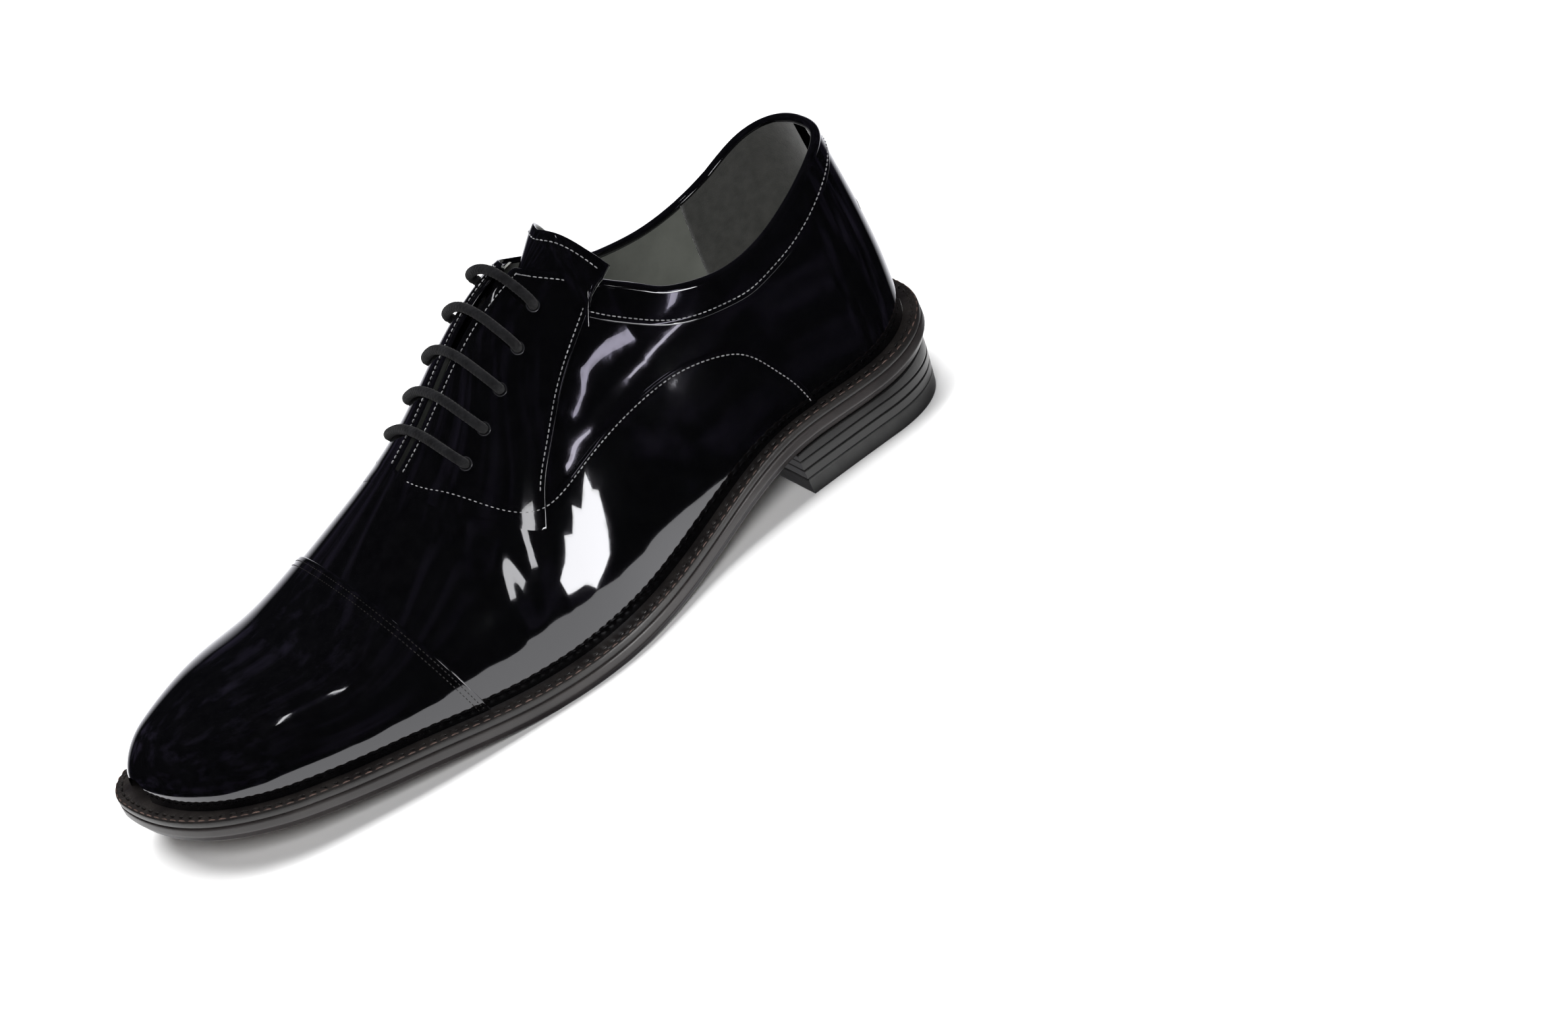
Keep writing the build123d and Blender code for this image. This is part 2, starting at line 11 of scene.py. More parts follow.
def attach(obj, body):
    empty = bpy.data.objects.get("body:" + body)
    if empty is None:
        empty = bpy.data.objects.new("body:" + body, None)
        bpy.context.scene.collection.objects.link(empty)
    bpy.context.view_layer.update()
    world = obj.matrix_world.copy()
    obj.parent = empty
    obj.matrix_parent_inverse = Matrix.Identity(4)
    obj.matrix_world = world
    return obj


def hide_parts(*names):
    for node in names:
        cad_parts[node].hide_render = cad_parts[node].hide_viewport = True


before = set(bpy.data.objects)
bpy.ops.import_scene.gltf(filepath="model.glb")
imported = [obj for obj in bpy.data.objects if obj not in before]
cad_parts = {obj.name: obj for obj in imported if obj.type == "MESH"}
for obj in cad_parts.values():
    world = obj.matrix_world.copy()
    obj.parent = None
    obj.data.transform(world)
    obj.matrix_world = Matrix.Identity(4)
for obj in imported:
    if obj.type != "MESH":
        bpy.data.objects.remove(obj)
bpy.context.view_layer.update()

# ---- the last, in millimetres
# "s" is the distance from the back of the heel, "u" runs over the upper from the medial foot
# (-1) by the ridge (0) to the lateral foot (1), and "depth" goes in from the vamp's outside.
LENGTH = 302.0
MIDDLE = LENGTH / 2
HEEL_ROUND = 35.0
TOE_ROUND = 262.0
TOE_SWING = -15.0
TOE_POWER = 1.95
HEEL_POWER = 2.4
HEEL_INSET = 4.6
FOREPART_INSET = 6.7
ANKLE_SLOPE = 0.25
NOSE_ROUND = 15.0  # the toe's top rounds down to the welt over this length
NOSE_POWER = 2.5
CAP_DEPTH, FACING_DEPTH, COLLAR_DEPTH, QUARTER_DEPTH = -0.9, -0.15, 0.1, 0.9
LINING_DEPTH, GRIP_DEPTH = 3.3, 3.7
TONGUE_TOP, TONGUE_MIDDLE, TONGUE_BACK = 9.4, 10.6, 11.2
TONGUE_REAR, TONGUE_FRONT = 107.0, 187.0
UPPER_STITCH = (1.8, 1.25)  # the pitch and length of the upper's stitches
ROLL_RADIUS = 1.65
ROLL_DROP = 1.6  # the roll's middle lies this far under the top line
GAP_SIDE = 3.8
GAP_HALF = 1.2


def smooth(points):
    """The natural cubic spline through (place, value) points."""
    x, y = np.array(points, float).T
    step = np.diff(x)
    slope = np.diff(y) / step
    matrix = np.eye(len(x))
    right = np.zeros(len(x))
    for i in range(1, len(x) - 1):
        matrix[i, i - 1:i + 2] = step[i - 1], 2 * (step[i - 1] + step[i]), step[i]
        right[i] = 6 * (slope[i] - slope[i - 1])
    bend = np.linalg.solve(matrix, right)

    def value(s):
        i = np.clip(np.searchsorted(x, s) - 1, 0, len(x) - 2)
        a = (x[i + 1] - s) / step[i]
        b = (s - x[i]) / step[i]
        curve = (a**3 - a) * bend[i] + (b**3 - b) * bend[i + 1]
        return a * y[i] + b * y[i + 1] + curve * step[i] ** 2 / 6

    return value


lateral_width = smooth([(35, 33), (75, 35), (110, 40.5), (150, 52.5), (190, 52.5), (215, 49.5),
                        (245, 43.5), (262, 39)])
medial_width = smooth([(35, 33), (75, 34.5), (110, 28), (150, 37.5), (190, 49.5), (215, 55),
                       (245, 52), (262, 46)])
feather = smooth([(0, 30), (35, 25), (70, 24.5), (110, 13.5), (150, 9), (190, 9.4), (220, 13.5),
                  (250, 16.5), (280, 20.5), (302, 23)])
ridge_curve = smooth([(100, 119), (125, 117), (150, 104), (170, 86.5), (200, 65), (235, 47),
                      (250, 46.3), (265, 45.3), (275, 42.8), (285, 38.8), (296, 33)])
lateral_bulge = smooth([(0, 1.2), (35, 2.9), (75, 2.8), (120, 1.4), (160, 1.5), (200, 1.6),
                        (240, 1.5), (270, 1.3), (296, 1)])
medial_bulge = smooth([(0, 1.3), (35, 2.9), (75, 1.8), (120, 1.5), (160, 2), (200, 2),
                       (240, 1.5), (270, 1.3), (296, 1)])
wall_rise = smooth([(0, 0.44), (35, 0.47), (75, 0.57), (120, 0.41), (160, 0.4), (200, 0.52),
                    (240, 0.64), (270, 0.66), (296, 0.62)])
crown = smooth([(0, 0.56), (35, 0.59), (75, 0.67), (120, 0.49), (160, 0.5), (200, 0.62),
                (240, 0.72), (270, 0.70), (296, 0.64)])

# Seams in the side view, (s, z).
wing_seam = smooth([(51, 12), (55, 29), (61, 43), (67, 53), (76.5, 60.5), (84, 63), (92, 64.5),
                    (106, 64.5), (121, 63), (137, 60), (147, 57.5), (156, 57), (166, 63),
                    (176, 72.5), (183, 79), (187, 90)])
facing_seam = smooth([(96, 106), (102, 100.5), (108.5, 95.5), (121.5, 87), (131.5, 79.5),
                      (143, 68.5), (152, 58.5), (158, 48)])
collar_seam = smooth([(-4, 94), (17, 85.5), (28, 80), (38.5, 75.4), (50, 72.4), (60.5, 70.9),
                      (69.5, 71.8), (78, 73.4), (89.5, 77.7), (101, 85.5), (107, 90.3),
                      (113, 96)])
top_line = smooth([(-6, 99), (7, 98), (21, 94.5), (29, 91.2), (42, 86), (53.5, 83.2),
                   (63.5, 82.7), (72, 84), (80, 86.4), (87, 89.8), (91, 92.9), (101.5, 100.6),
                   (110, 107.8), (117, 112.6), (124, 118)])
CAP_FOOT = (200.0, 11.0)
CAP_TOP = (213.5, 57.0)


def slope_at(curve, place):
    return (curve(np.array(place)) - curve(np.array(place - 0.1))) / 0.1


LATERAL_SLOPE = slope_at(lateral_width, TOE_ROUND)
MEDIAL_SLOPE = slope_at(medial_width, TOE_ROUND)


def edges(s, inset):
    """The lateral and medial y of the sole's outline, moved in by inset."""
    s = np.asarray(s, float)
    body = np.clip(s, HEEL_ROUND, TOE_ROUND)
    lateral = lateral_width(body) - inset
    medial = medial_width(body) - inset
    over = np.maximum(s - TOE_ROUND, 0)
    part = np.clip(over / (LENGTH - inset - TOE_ROUND), 0, 1)
    taper = (1 - part**TOE_POWER) ** (1 / TOE_POWER)
    swing = TOE_SWING * (1 - taper)
    lateral = (lateral + LATERAL_SLOPE * over * (1 - part)) * taper + swing
    medial = (medial + MEDIAL_SLOPE * over * (1 - part)) * taper - swing
    part = np.clip((HEEL_ROUND - s) / (HEEL_ROUND - 0.8 * inset), 0, 1)
    taper = (1 - part**HEEL_POWER) ** (1 / HEEL_POWER)
    return lateral * taper, -medial * taper


sole_s = np.linspace(0, 299, 600)
SIDE = (edges(sole_s, 0)[0].max() + edges(sole_s, 0)[1].min()) / 2


def upper_inset(s):
    return HEEL_INSET + (FOREPART_INSET - HEEL_INSET) * np.clip((s - 60) / 90, 0, 1)


def ridge(s, depth):
    """Height of the upper's ridge, rounded down to the welt at the toe."""
    top = np.where(s < 100, 119 + (100 - s) * ANKLE_SLOPE, ridge_curve(np.maximum(s, 100)))
    tip = LENGTH - FOREPART_INSET - depth
    q = np.clip((s - tip + NOSE_ROUND) / NOSE_ROUND, 0, 1)
    low = feather(s)
    return low + (top - depth - low) * (1 - q**NOSE_POWER) ** (1 / NOSE_POWER)


def heel_lean(s, z):
    """How far the back of the heel leans forward: in at the top, and under the counter."""
    near = np.clip(1 - s / 60, 0, 1) ** 2
    up = np.clip((z - 50) / 48, 0, 1.2)
    low = np.clip((50 - z) / 22, 0, 1)
    return near * (4.5 * up**1.6 + 1.0 * low**2)


def skin(s, u, depth):
    """Points of the upper in millimetres, last axis x y z."""
    s, u, depth = np.broadcast_arrays(np.asarray(s, float), u, np.asarray(depth, float))
    lateral, medial = edges(s, upper_inset(s) + depth)
    place = np.minimum(s, 296)
    foot = feather(s)
    top = ridge(s, depth)
    centre = (lateral + medial) / 2
    outer = np.where(u >= 0, lateral, medial)
    bulge = np.where(u >= 0, lateral_bulge(place), -medial_bulge(place))
    width = outer - centre
    out = 2.2 * bulge * np.minimum(1, np.abs(width) / 25)
    t = 1 - np.abs(u)
    w0, w1, w2, w3 = (1 - t) ** 3, 3 * (1 - t) ** 2 * t, 3 * (1 - t) * t**2, t**3
    y = w0 * outer + w1 * (outer + out) + w2 * (centre + crown(place) * width) + w3 * centre
    z = w0 * foot + w1 * (foot + wall_rise(place) * (top - foot)) + (w2 + w3) * top
    x = s - MIDDLE + heel_lean(s, z)
    return np.stack([x, y - SIDE, z], -1)


def bisected(s, side, held):
    """How far u can go to that side (1 or -1) while held(u) is true."""
    low, high = np.zeros_like(s), np.ones_like(s)
    for _ in range(30):
        mid = (low + high) / 2
        going = held(side * mid)
        low = np.where(going, mid, low)
        high = np.where(going, high, mid)
    return side * (low + high) / 2


def u_at_height(s, z, side, depth=0.0):
    """The u where the wall on that side reaches height z."""
    s = np.asarray(s, float)
    return bisected(s, side, lambda u: skin(s, u, depth)[..., 2] > z)


def u_at_offset(s, offset, depth=0.0):
    """The u where the skin lies offset to the side of the ridge, along y."""
    s, offset = np.broadcast_arrays(np.asarray(s, float), np.asarray(offset, float))
    side = np.where(offset >= 0, 1.0, -1.0)
    centre = skin(s, np.zeros_like(s), depth)[..., 1]
    reach = np.abs(offset)
    return bisected(s, side, lambda u: ~(np.abs(skin(s, u, depth)[..., 1] - centre) > reach))


def normals(s, u):
    """Unit normals of the skin, pointing out."""
    ds, du = 0.3, 0.004
    along = skin(s + ds, u, 0) - skin(s - ds, u, 0)
    cross = skin(s, np.clip(u + du, -1, 1), 0) - skin(s, np.clip(u - du, -1, 1), 0)
    n = np.cross(along, cross)
    return n / np.maximum(np.linalg.norm(n, axis=-1, keepdims=True), 1e-9)


# ---- mesh helpers
def new_object(name, data):
    """An object of the scene for a mesh, curve, light or camera."""
    thing = bpy.data.objects.new(name, data)
    bpy.context.scene.collection.objects.link(thing)
    return thing


def add_mesh(name, points, faces, material, body="shoe", node=None, smooth_faces=True):
    """Makes a piece from points in millimetres."""
    mesh = bpy.data.meshes.new(name)
    mesh.from_pydata((np.asarray(points).reshape(-1, 3) * 0.001).tolist(), [], faces)
    mesh.validate()
    piece = new_object(name, mesh)
    mesh.materials.append(material)
    if smooth_faces:
        mesh.polygons.foreach_set("use_smooth", [True] * len(mesh.polygons))
    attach(piece, body)
    if node:
        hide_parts(node)
    return piece


def strips(one, other, count):
    """Points across from one line to another, in count steps."""
    return np.stack([one + (other - one) * k / count for k in range(count + 1)], 1)


def grid_faces(rows, columns, start=0, wrap=False, flip=False):
    """Quads of a grid of points, row by row."""
    faces = []
    last = columns if wrap else columns - 1
    for i in range(rows - 1):
        for j in range(last):
            a = start + i * columns + j
            b = start + i * columns + (j + 1) % columns
            quad = (a, b, b + columns, a + columns)
            faces.append(quad[::-1] if flip else quad)
    return faces


def line_distance(points, line):
    """How far each point is from a line of points."""
    start = line[:-1]
    run = line[1:] - start
    length = np.maximum((run**2).sum(1), 1e-9)
    nearest = []
    for chunk in np.array_split(points, max(1, len(points) // 1500)):
        gap = chunk[:, None] - start
        t = np.clip((gap * run).sum(-1) / length, 0, 1)
        nearest.append(np.linalg.norm(gap - t[..., None] * run, axis=-1).min(1))
    return np.concatenate(nearest)


def refined(n, first=True, last=True):
    """Numbers from 0 to 1, with some close together at the ends that are folded edges."""
    near = np.array([0, 0.003, 0.007, 0.012, 0.018, 0.026])
    middle = np.linspace(0.04 if first else 0, 0.96 if last else 1, n)
    return np.concatenate([near if first else [], middle, 1 - near[::-1] if last else []])


def rows_between(s, u_start, u_end, spread):
    """A grid with one row for each s, from u_start to u_end."""
    return (np.repeat(s[:, None], len(spread), 1),
            u_start[:, None] + (u_end - u_start)[:, None] * spread[None])


def leather(name, grids, depth, node, thickness=1.2, edge=0.6, relief=None):
    """A patent panel over grids of (s, u, folded), where folded names the sides that are edges.

    The folded sides are rounded off and get a wall as high as the leather is thick.
    """
    sides = {"first": lambda a: a[0], "left": lambda a: a[:, 0], "right": lambda a: a[:, -1]}
    surfaces = [(skin(s, u, depth), normals(s, u)) for s, u, _ in grids]
    lines = [sides[side](base) for (base, _), grid in zip(surfaces, grids) for side in grid[2]]
    points, faces = [], []
    for (base, n), (s, u, folded) in zip(surfaces, grids):
        start = len(points)
        flat = base.reshape(-1, 3)
        distance = np.full(len(flat), 1e3)
        for line in lines:
            distance = np.minimum(distance, line_distance(flat, line))
        q = np.clip(1 - distance / edge, 0, 1)
        drop = edge * (1 - np.sqrt(np.maximum(1 - q**2, 0)))
        if relief is not None:
            drop = drop - relief(s, u).reshape(-1)
        way = n.reshape(-1, 3)
        points.extend(flat - way * drop[:, None])
        rows, columns = s.shape
        flip = u[rows // 2, -1] > u[rows // 2, 0]
        faces += grid_faces(rows, columns, start, flip=flip)
        index = np.arange(rows * columns).reshape(rows, columns)
        for side in folded:
            rim = sides[side](index)
            wall = len(points)
            points.extend(flat[rim] - way[rim] * thickness)
            turned = (side in ("first", "right")) == bool(flip)
            for k in range(len(rim) - 1):
                quad = (start + rim[k], start + rim[k + 1], wall + k + 1, wall + k)
                faces.append(tuple(int(v) for v in (quad[::-1] if turned else quad)))
    weld(add_mesh(name, np.array(points), faces, patent, "shoe", node))


def weld(piece):
    """Joins points that coincide, and drops the faces that have no area."""
    mesh = bmesh.new()
    mesh.from_mesh(piece.data)
    bmesh.ops.remove_doubles(mesh, verts=mesh.verts, dist=2e-6)
    bmesh.ops.dissolve_degenerate(mesh, edges=mesh.edges, dist=1e-7)
    mesh.to_mesh(piece.data)
    mesh.free()


def distances(path):
    """The distance walked along a path, at each of its points."""
    return np.concatenate([[0], np.cumsum(np.linalg.norm(np.diff(path, axis=0), axis=1))])


def tube(path, radius, sides, relief=None):
    """Points and faces of a tube along a path; relief(distance, angle) scales its radius."""
    path = np.asarray(path)
    tangent = np.gradient(path, axis=0)
    tangent /= np.linalg.norm(tangent, axis=1, keepdims=True)
    side = np.cross(tangent[0], (0.3, 0.2, 1.0))
    frames = []
    for t in tangent:
        side = side - t * (side @ t)
        side /= np.linalg.norm(side)
        frames.append((side, np.cross(t, side)))
    angle = np.linspace(0, 2 * math.pi, sides, endpoint=False)
    rings = []
    for p, (a, b), d in zip(path, frames, distances(path)):
        r = radius * (relief(d, angle) if relief else np.ones(sides))
        rings.append(p + (np.cos(angle) * r)[:, None] * a + (np.sin(angle) * r)[:, None] * b)
    points = np.vstack(rings)
    faces = grid_faces(len(path), sides, wrap=True, flip=True)
    faces.append(tuple(range(sides)))
    faces.append(tuple(range(len(points) - 1, len(points) - sides - 1, -1)))
    return points, faces


def resample(path, pitch):
    """Points evenly spaced along a path."""
    path = np.asarray(path)
    walked = distances(path)
    places = np.arange(0, walked[-1], pitch)
    return np.stack([np.interp(places, walked, path[:, k]) for k in range(3)], 1)


def stitches(name, runs, pitch, length, width, material, slot, body="shoe"):
    """A row of threads; each run is (points, normals) in millimetres."""
    rings = np.array([(-0.5, 0.25), (-0.36, 0.8), (0, 1), (0.36, 0.8), (0.5, 0.25)])
    sides = 6
    points, faces = [], []
    for path, normal in runs:
        walked = distances(path)
        for place in np.arange(pitch / 2, walked[-1], pitch):
            p, q, n = (np.array([np.interp(d, walked, v[:, k]) for k in range(3)])
                       for d, v in ((place, path), (place + 0.3, path), (place, normal)))
            t = (q - p) / max(np.linalg.norm(q - p), 1e-9)
            n = n - t * (n @ t)
            n /= np.linalg.norm(n)
            b = np.cross(n, t)
            start = len(points)
            for at, size in rings:
                for k in range(sides):
                    a = 2 * math.pi * k / sides
                    spot = p + t * at * length - n * (0.1 - 0.12 * (1 - abs(at) * 2))
                    spot = spot + (b * math.cos(a) + n * math.sin(a)) * width / 2 * size
                    points.append(spot)
            faces += grid_faces(len(rings), sides, start, wrap=True)
            faces.append(tuple(range(start + sides - 1, start - 1, -1)))
            end = start + (len(rings) - 1) * sides
            faces.append(tuple(range(end, end + sides)))
    return add_mesh(name, np.array(points), faces, material, body)


def seam_run(s, u, aside, lift=0.0):
    """A stitching line beside the curve (s, u) on the skin, moved aside across the leather."""
    base = skin(s, u, 0)
    n = normals(s, u)
    t = np.gradient(base, axis=0)
    t /= np.maximum(np.linalg.norm(t, axis=1, keepdims=True), 1e-9)
    return base + np.cross(n, t) * aside + n * lift, n


# ---- materials
def material(name, color, roughness, **sockets):
    """A Principled material; returns it with its shader and node tree."""
    m = bpy.data.materials.new(name)
    m.use_nodes = True
    shader = m.node_tree.nodes["Principled BSDF"]
    shader.inputs["Base Color"].default_value = (*color, 1)
    shader.inputs["Roughness"].default_value = roughness
    for socket, value in sockets.items():
        shader.inputs[socket.replace("_", " ")].default_value = value
    return m, shader, m.node_tree


def add_node(tree, kind, **values):
    node = tree.nodes.new(kind)
    for key, value in values.items():
        if key in node.inputs:
            node.inputs[key].default_value = value
        else:
            setattr(node, key, value)
    return node


def noise(tree, scale, detail=4.0, rough=0.5):
    """A noise over the object's own coordinates."""
    place = tree.nodes.new("ShaderNodeTexCoord")
    pattern = add_node(tree, "ShaderNodeTexNoise", Scale=scale, Detail=detail, Roughness=rough)
    tree.links.new(place.outputs["Object"], pattern.inputs["Vector"])
    return pattern.outputs["Fac"]


def bump(tree, shader, height, strength, distance, after=None):
    node = add_node(tree, "ShaderNodeBump", Strength=strength, Distance=distance)
    tree.links.new(height, node.inputs["Height"])
    if after:
        tree.links.new(after, node.inputs["Normal"])
    tree.links.new(node.outputs["Normal"], shader.inputs["Normal"])
    return node.outputs["Normal"]


def ramp(tree, fac, stops, target):
    """Colours the target socket by fac, between two (place, color) stops."""
    node = tree.nodes.new("ShaderNodeValToRGB")
    for element, (place, color) in zip(node.color_ramp.elements, stops):
        element.position = place
        element.color = (*color, 1)
    tree.links.new(fac, node.inputs["Fac"])
    tree.links.new(node.outputs["Color"], target)


def patent_leather():
    """Black leather under clear lacquer, with a faint orange peel and fine dust specks."""
    m, shader, tree = material("patent_leather", (0.004, 0.004, 0.005), 0.07,
                               Specular_IOR_Level=0.5, Coat_Weight=1.0, Coat_Roughness=0.015,
                               Coat_Tint=(0.93, 0.93, 1.0, 1.0))
    soft = bump(tree, shader, noise(tree, 70, 2), 0.10, 0.0012)
    bump(tree, shader, noise(tree, 900, 3), 0.05, 0.00008, soft)
    ramp(tree, noise(tree, 240, 6, rough=0.7),
         [(0.3, (0.0008, 0.0008, 0.001)), (0.72, (0.002, 0.002, 0.0022))],
         shader.inputs["Base Color"])
    return m


patent = patent_leather()


def simple_leather(name, low, high, roughness, grain=700, strength=0.35, **sockets):
    m, shader, tree = material(name, low, roughness, **sockets)
    ramp(tree, noise(tree, grain / 8, 5), [(0.3, low), (0.7, high)],
         shader.inputs["Base Color"])
    first = bump(tree, shader, noise(tree, grain, 5, rough=0.6), strength, 0.0002)
    bump(tree, shader, noise(tree, grain / 14, 3), strength * 0.6, 0.0006, first)
    return m


lining_leather = simple_leather("lining_leather", (0.15, 0.157, 0.14), (0.19, 0.198, 0.177), 0.33,
                                Specular_IOR_Level=0.55, Sheen_Weight=0.15)
suede = simple_leather("suede", (0.045, 0.046, 0.042), (0.068, 0.068, 0.063), 0.9, grain=2400,
                       strength=0.8, Sheen_Weight=0.5)
sock_leather = simple_leather("sock_leather", (0.10, 0.105, 0.095), (0.16, 0.165, 0.15), 0.5)
welt_leather = simple_leather("welt_leather", (0.008, 0.007, 0.007), (0.018, 0.016, 0.015), 0.38,
                              grain=900, strength=0.4)
sole_edge = simple_leather("sole_edge", (0.016, 0.0135, 0.0135), (0.030, 0.026, 0.0255), 0.36,
                           grain=500, strength=0.25)
sole_bottom = simple_leather("sole_bottom", (0.085, 0.070, 0.058), (0.13, 0.107, 0.088), 0.6,
                             grain=420)
heel_leather = simple_leather("heel_leather", (0.005, 0.005, 0.005), (0.009, 0.0085, 0.0085), 0.34,
                              grain=500, strength=0.2)
rubber = simple_leather("rubber", (0.012, 0.012, 0.012), (0.022, 0.022, 0.022), 0.55, grain=1400)
cotton = simple_leather("cotton", (0.003, 0.003, 0.0035), (0.009, 0.009, 0.010), 0.8, grain=2500,
                        strength=0.7, Sheen_Weight=0.06, Specular_IOR_Level=0.3)
# Painted highlight: this thread is coloured mid grey instead of black, to stand in for the glints
# along the upper's stitches.
thread_with_painted_glint = simple_leather("thread_with_painted_glint", (0.10, 0.10, 0.105), (0.32, 0.32, 0.33), 0.35, grain=3000)
welt_thread = simple_leather("welt_thread", (0.030, 0.022, 0.019), (0.10, 0.065, 0.055), 0.6,
                             grain=3000)
black_thread = simple_leather("black_thread", (0.006, 0.006, 0.006), (0.02, 0.018, 0.017), 0.35,
                              grain=3000)
cork = simple_leather("cork", (0.35, 0.22, 0.12), (0.5, 0.34, 0.2), 0.85, grain=900)
steel = simple_leather("dark_steel", (0.16, 0.16, 0.17), (0.22, 0.22, 0.23), 0.25, strength=0.05,
                       Metallic=1.0)
eyelet_black = simple_leather("eyelet_enamel", (0.02, 0.02, 0.022), (0.05, 0.05, 0.055), 0.22,
                              strength=0.05, Metallic=0.6)
plastic = simple_leather("aglet_plastic", (0.008, 0.008, 0.008), (0.014, 0.014, 0.014), 0.25,
                         strength=0.05)


# ---- camera
camera_data = bpy.data.cameras.new("camera")
camera = new_object("camera", camera_data)
camera_data.sensor_width = 36
camera_data.lens = 105.5
right = Vector((-0.7806, 0.5116, -0.3590))
up = Vector((-0.5421, -0.2683, 0.7963))
back = Vector((0.3111, 0.8163, 0.4868))
camera.matrix_world = Matrix.Translation((0.3830, 1.2214 - SIDE / 1000, 0.7106)) @ Matrix(
    (right, up, back)).transposed().to_4x4()
bpy.context.scene.camera = camera


# ---- lines on the upper
HEEL_END = HEEL_INSET * 0.8
TIP_END = LENGTH - FOREPART_INSET


def heel_rows(start, end, count, pitch=1.6):
    """Places from the back of the heel forward, close together in its round."""
    angle = np.linspace(0, math.pi / 2, count)
    round_part = start + (HEEL_ROUND - start) * (1 - np.cos(angle))
    return np.concatenate([round_part, np.arange(HEEL_ROUND + pitch, end, pitch), [end]])


def toe_rows(start, end, count, pitch=1.6):
    """Places from start to the tip of the toe, close together in its round."""
    angle = np.linspace(0, math.pi / 2, count)
    return np.concatenate([np.arange(start, TOE_ROUND, pitch),
                           TOE_ROUND + (end - TOE_ROUND) * np.sin(angle)])


def cap_seam_s(u, extra=0.0):
    """Where the toe cap's seam crosses each u."""
    s = np.full(np.shape(u), 208.0)
    for _ in range(12):
        f = (skin(s, u, 0)[..., 2] - CAP_FOOT[1]) / (CAP_TOP[1] - CAP_FOOT[1])
        s = CAP_FOOT[0] + (CAP_TOP[0] - CAP_FOOT[0]) * f
    return s + extra


def wing_u(s, side, below=0.0):
    """The vamp's upper edge, or the line that far below it; 0 ahead of the throat."""
    height = wing_seam(np.minimum(s, 187)) - below
    return u_at_height(s, np.where(s > 187, 200, height), side)


def top_u(s, side, below=0.0):
    return u_at_height(s, top_line(s) - below, side)


def gap_offset(s, side):
    """How far the facing's inner edge lies from the ridge, with its rounded top corner."""
    edge = np.abs(skin(s, top_u(s, side), 0)[..., 1] - skin(s, 0 * s, 0)[..., 1])
    reach = edge - side * GAP_SIDE
    over = np.clip((s - 122.0) / 3.0, 0, 1)
    reach = np.where(s > 122.0, (reach if side < 0 else 0) * (1 - over), reach)
    return GAP_SIDE + side * (np.maximum(reach, 0) ** 3 + GAP_HALF**3) ** (1 / 3)


def facing_u(s, side):
    """The facing's rear and lower edge, which runs on under the vamp."""
    low = wing_seam(np.minimum(s, 187)) - 8
    height = np.where(s < 158, np.maximum(facing_seam(np.minimum(s, 158)), low), low)
    return u_at_height(s, np.minimum(height, ridge(s, 0) - 4), side)


def creases(s, u):
    """Walking creases over the ball and pulled folds in the quarter, in millimetres."""
    lateral = np.clip(u, 0, 1)
    ball = np.exp(-(((s - 172) / 15.0) ** 2)) * np.clip((np.abs(u) - 0.18) / 0.2, 0, 1)
    ball = ball * np.clip((1.0 - np.abs(u)) / 0.25, 0, 1)
    wave = np.sin((s + 16 * np.abs(u) + 2.5 * np.sin(5 * u)) * 2 * math.pi / 15.5)
    wave = wave + 0.4 * np.sin((s - 22 * u + 2 * np.sin(6 * u)) * 2 * math.pi / 10.0 + 1.1)
    waist = np.exp(-(((s - 138) / 13.0) ** 2)) * np.exp(-(((lateral - 0.42) / 0.16) ** 2))
    pull = np.sin((s * 0.75 + 60 * lateral) * 2 * math.pi / 13.0)
    return 0.10 * ball * wave + 0.14 * waist * pull


# ---- toe cap and vamp
both = np.linspace(-1, 1, 121)
cap_rear = cap_seam_s(both)
cap_front = toe_rows(222, TIP_END, 70)
cap_back_part = refined(12, last=False)[:-1]
cap_s = np.vstack([cap_rear + (cap_front[0] - cap_rear) * k for k in cap_back_part]
                  + [np.full(len(both), s) for s in cap_front])
cap_u = np.repeat(both[None], len(cap_s), 0)
leather("toe_cap_leather", [(cap_s, cap_u, ("first",))], CAP_DEPTH, "toe_cap", edge=0.5)

vamp_back = 53.6
spread = refined(34, last=False)
wing_rows = np.concatenate([vamp_back + np.array([0, 0.3, 0.7, 1.2, 1.9]),
                            np.arange(56, 170, 1.3), np.linspace(170, 181.2, 26)])
vamp_grids = []
for side in (-1, 1):
    s, u = rows_between(wing_rows, wing_u(wing_rows, side), np.full(len(wing_rows), side * 1.0),
                        spread)
    vamp_grids.append((s, u, ("left",)))
    ahead = np.concatenate([np.linspace(181.2, 190, 12), np.arange(191.5, 221, 1.5)])
    s, u = rows_between(ahead, wing_u(ahead, side), np.full(len(ahead), side * 1.0), spread)
    vamp_grids.append((s, u, ()))
leather("vamp_leather", vamp_grids, 0, "vamp", relief=creases)

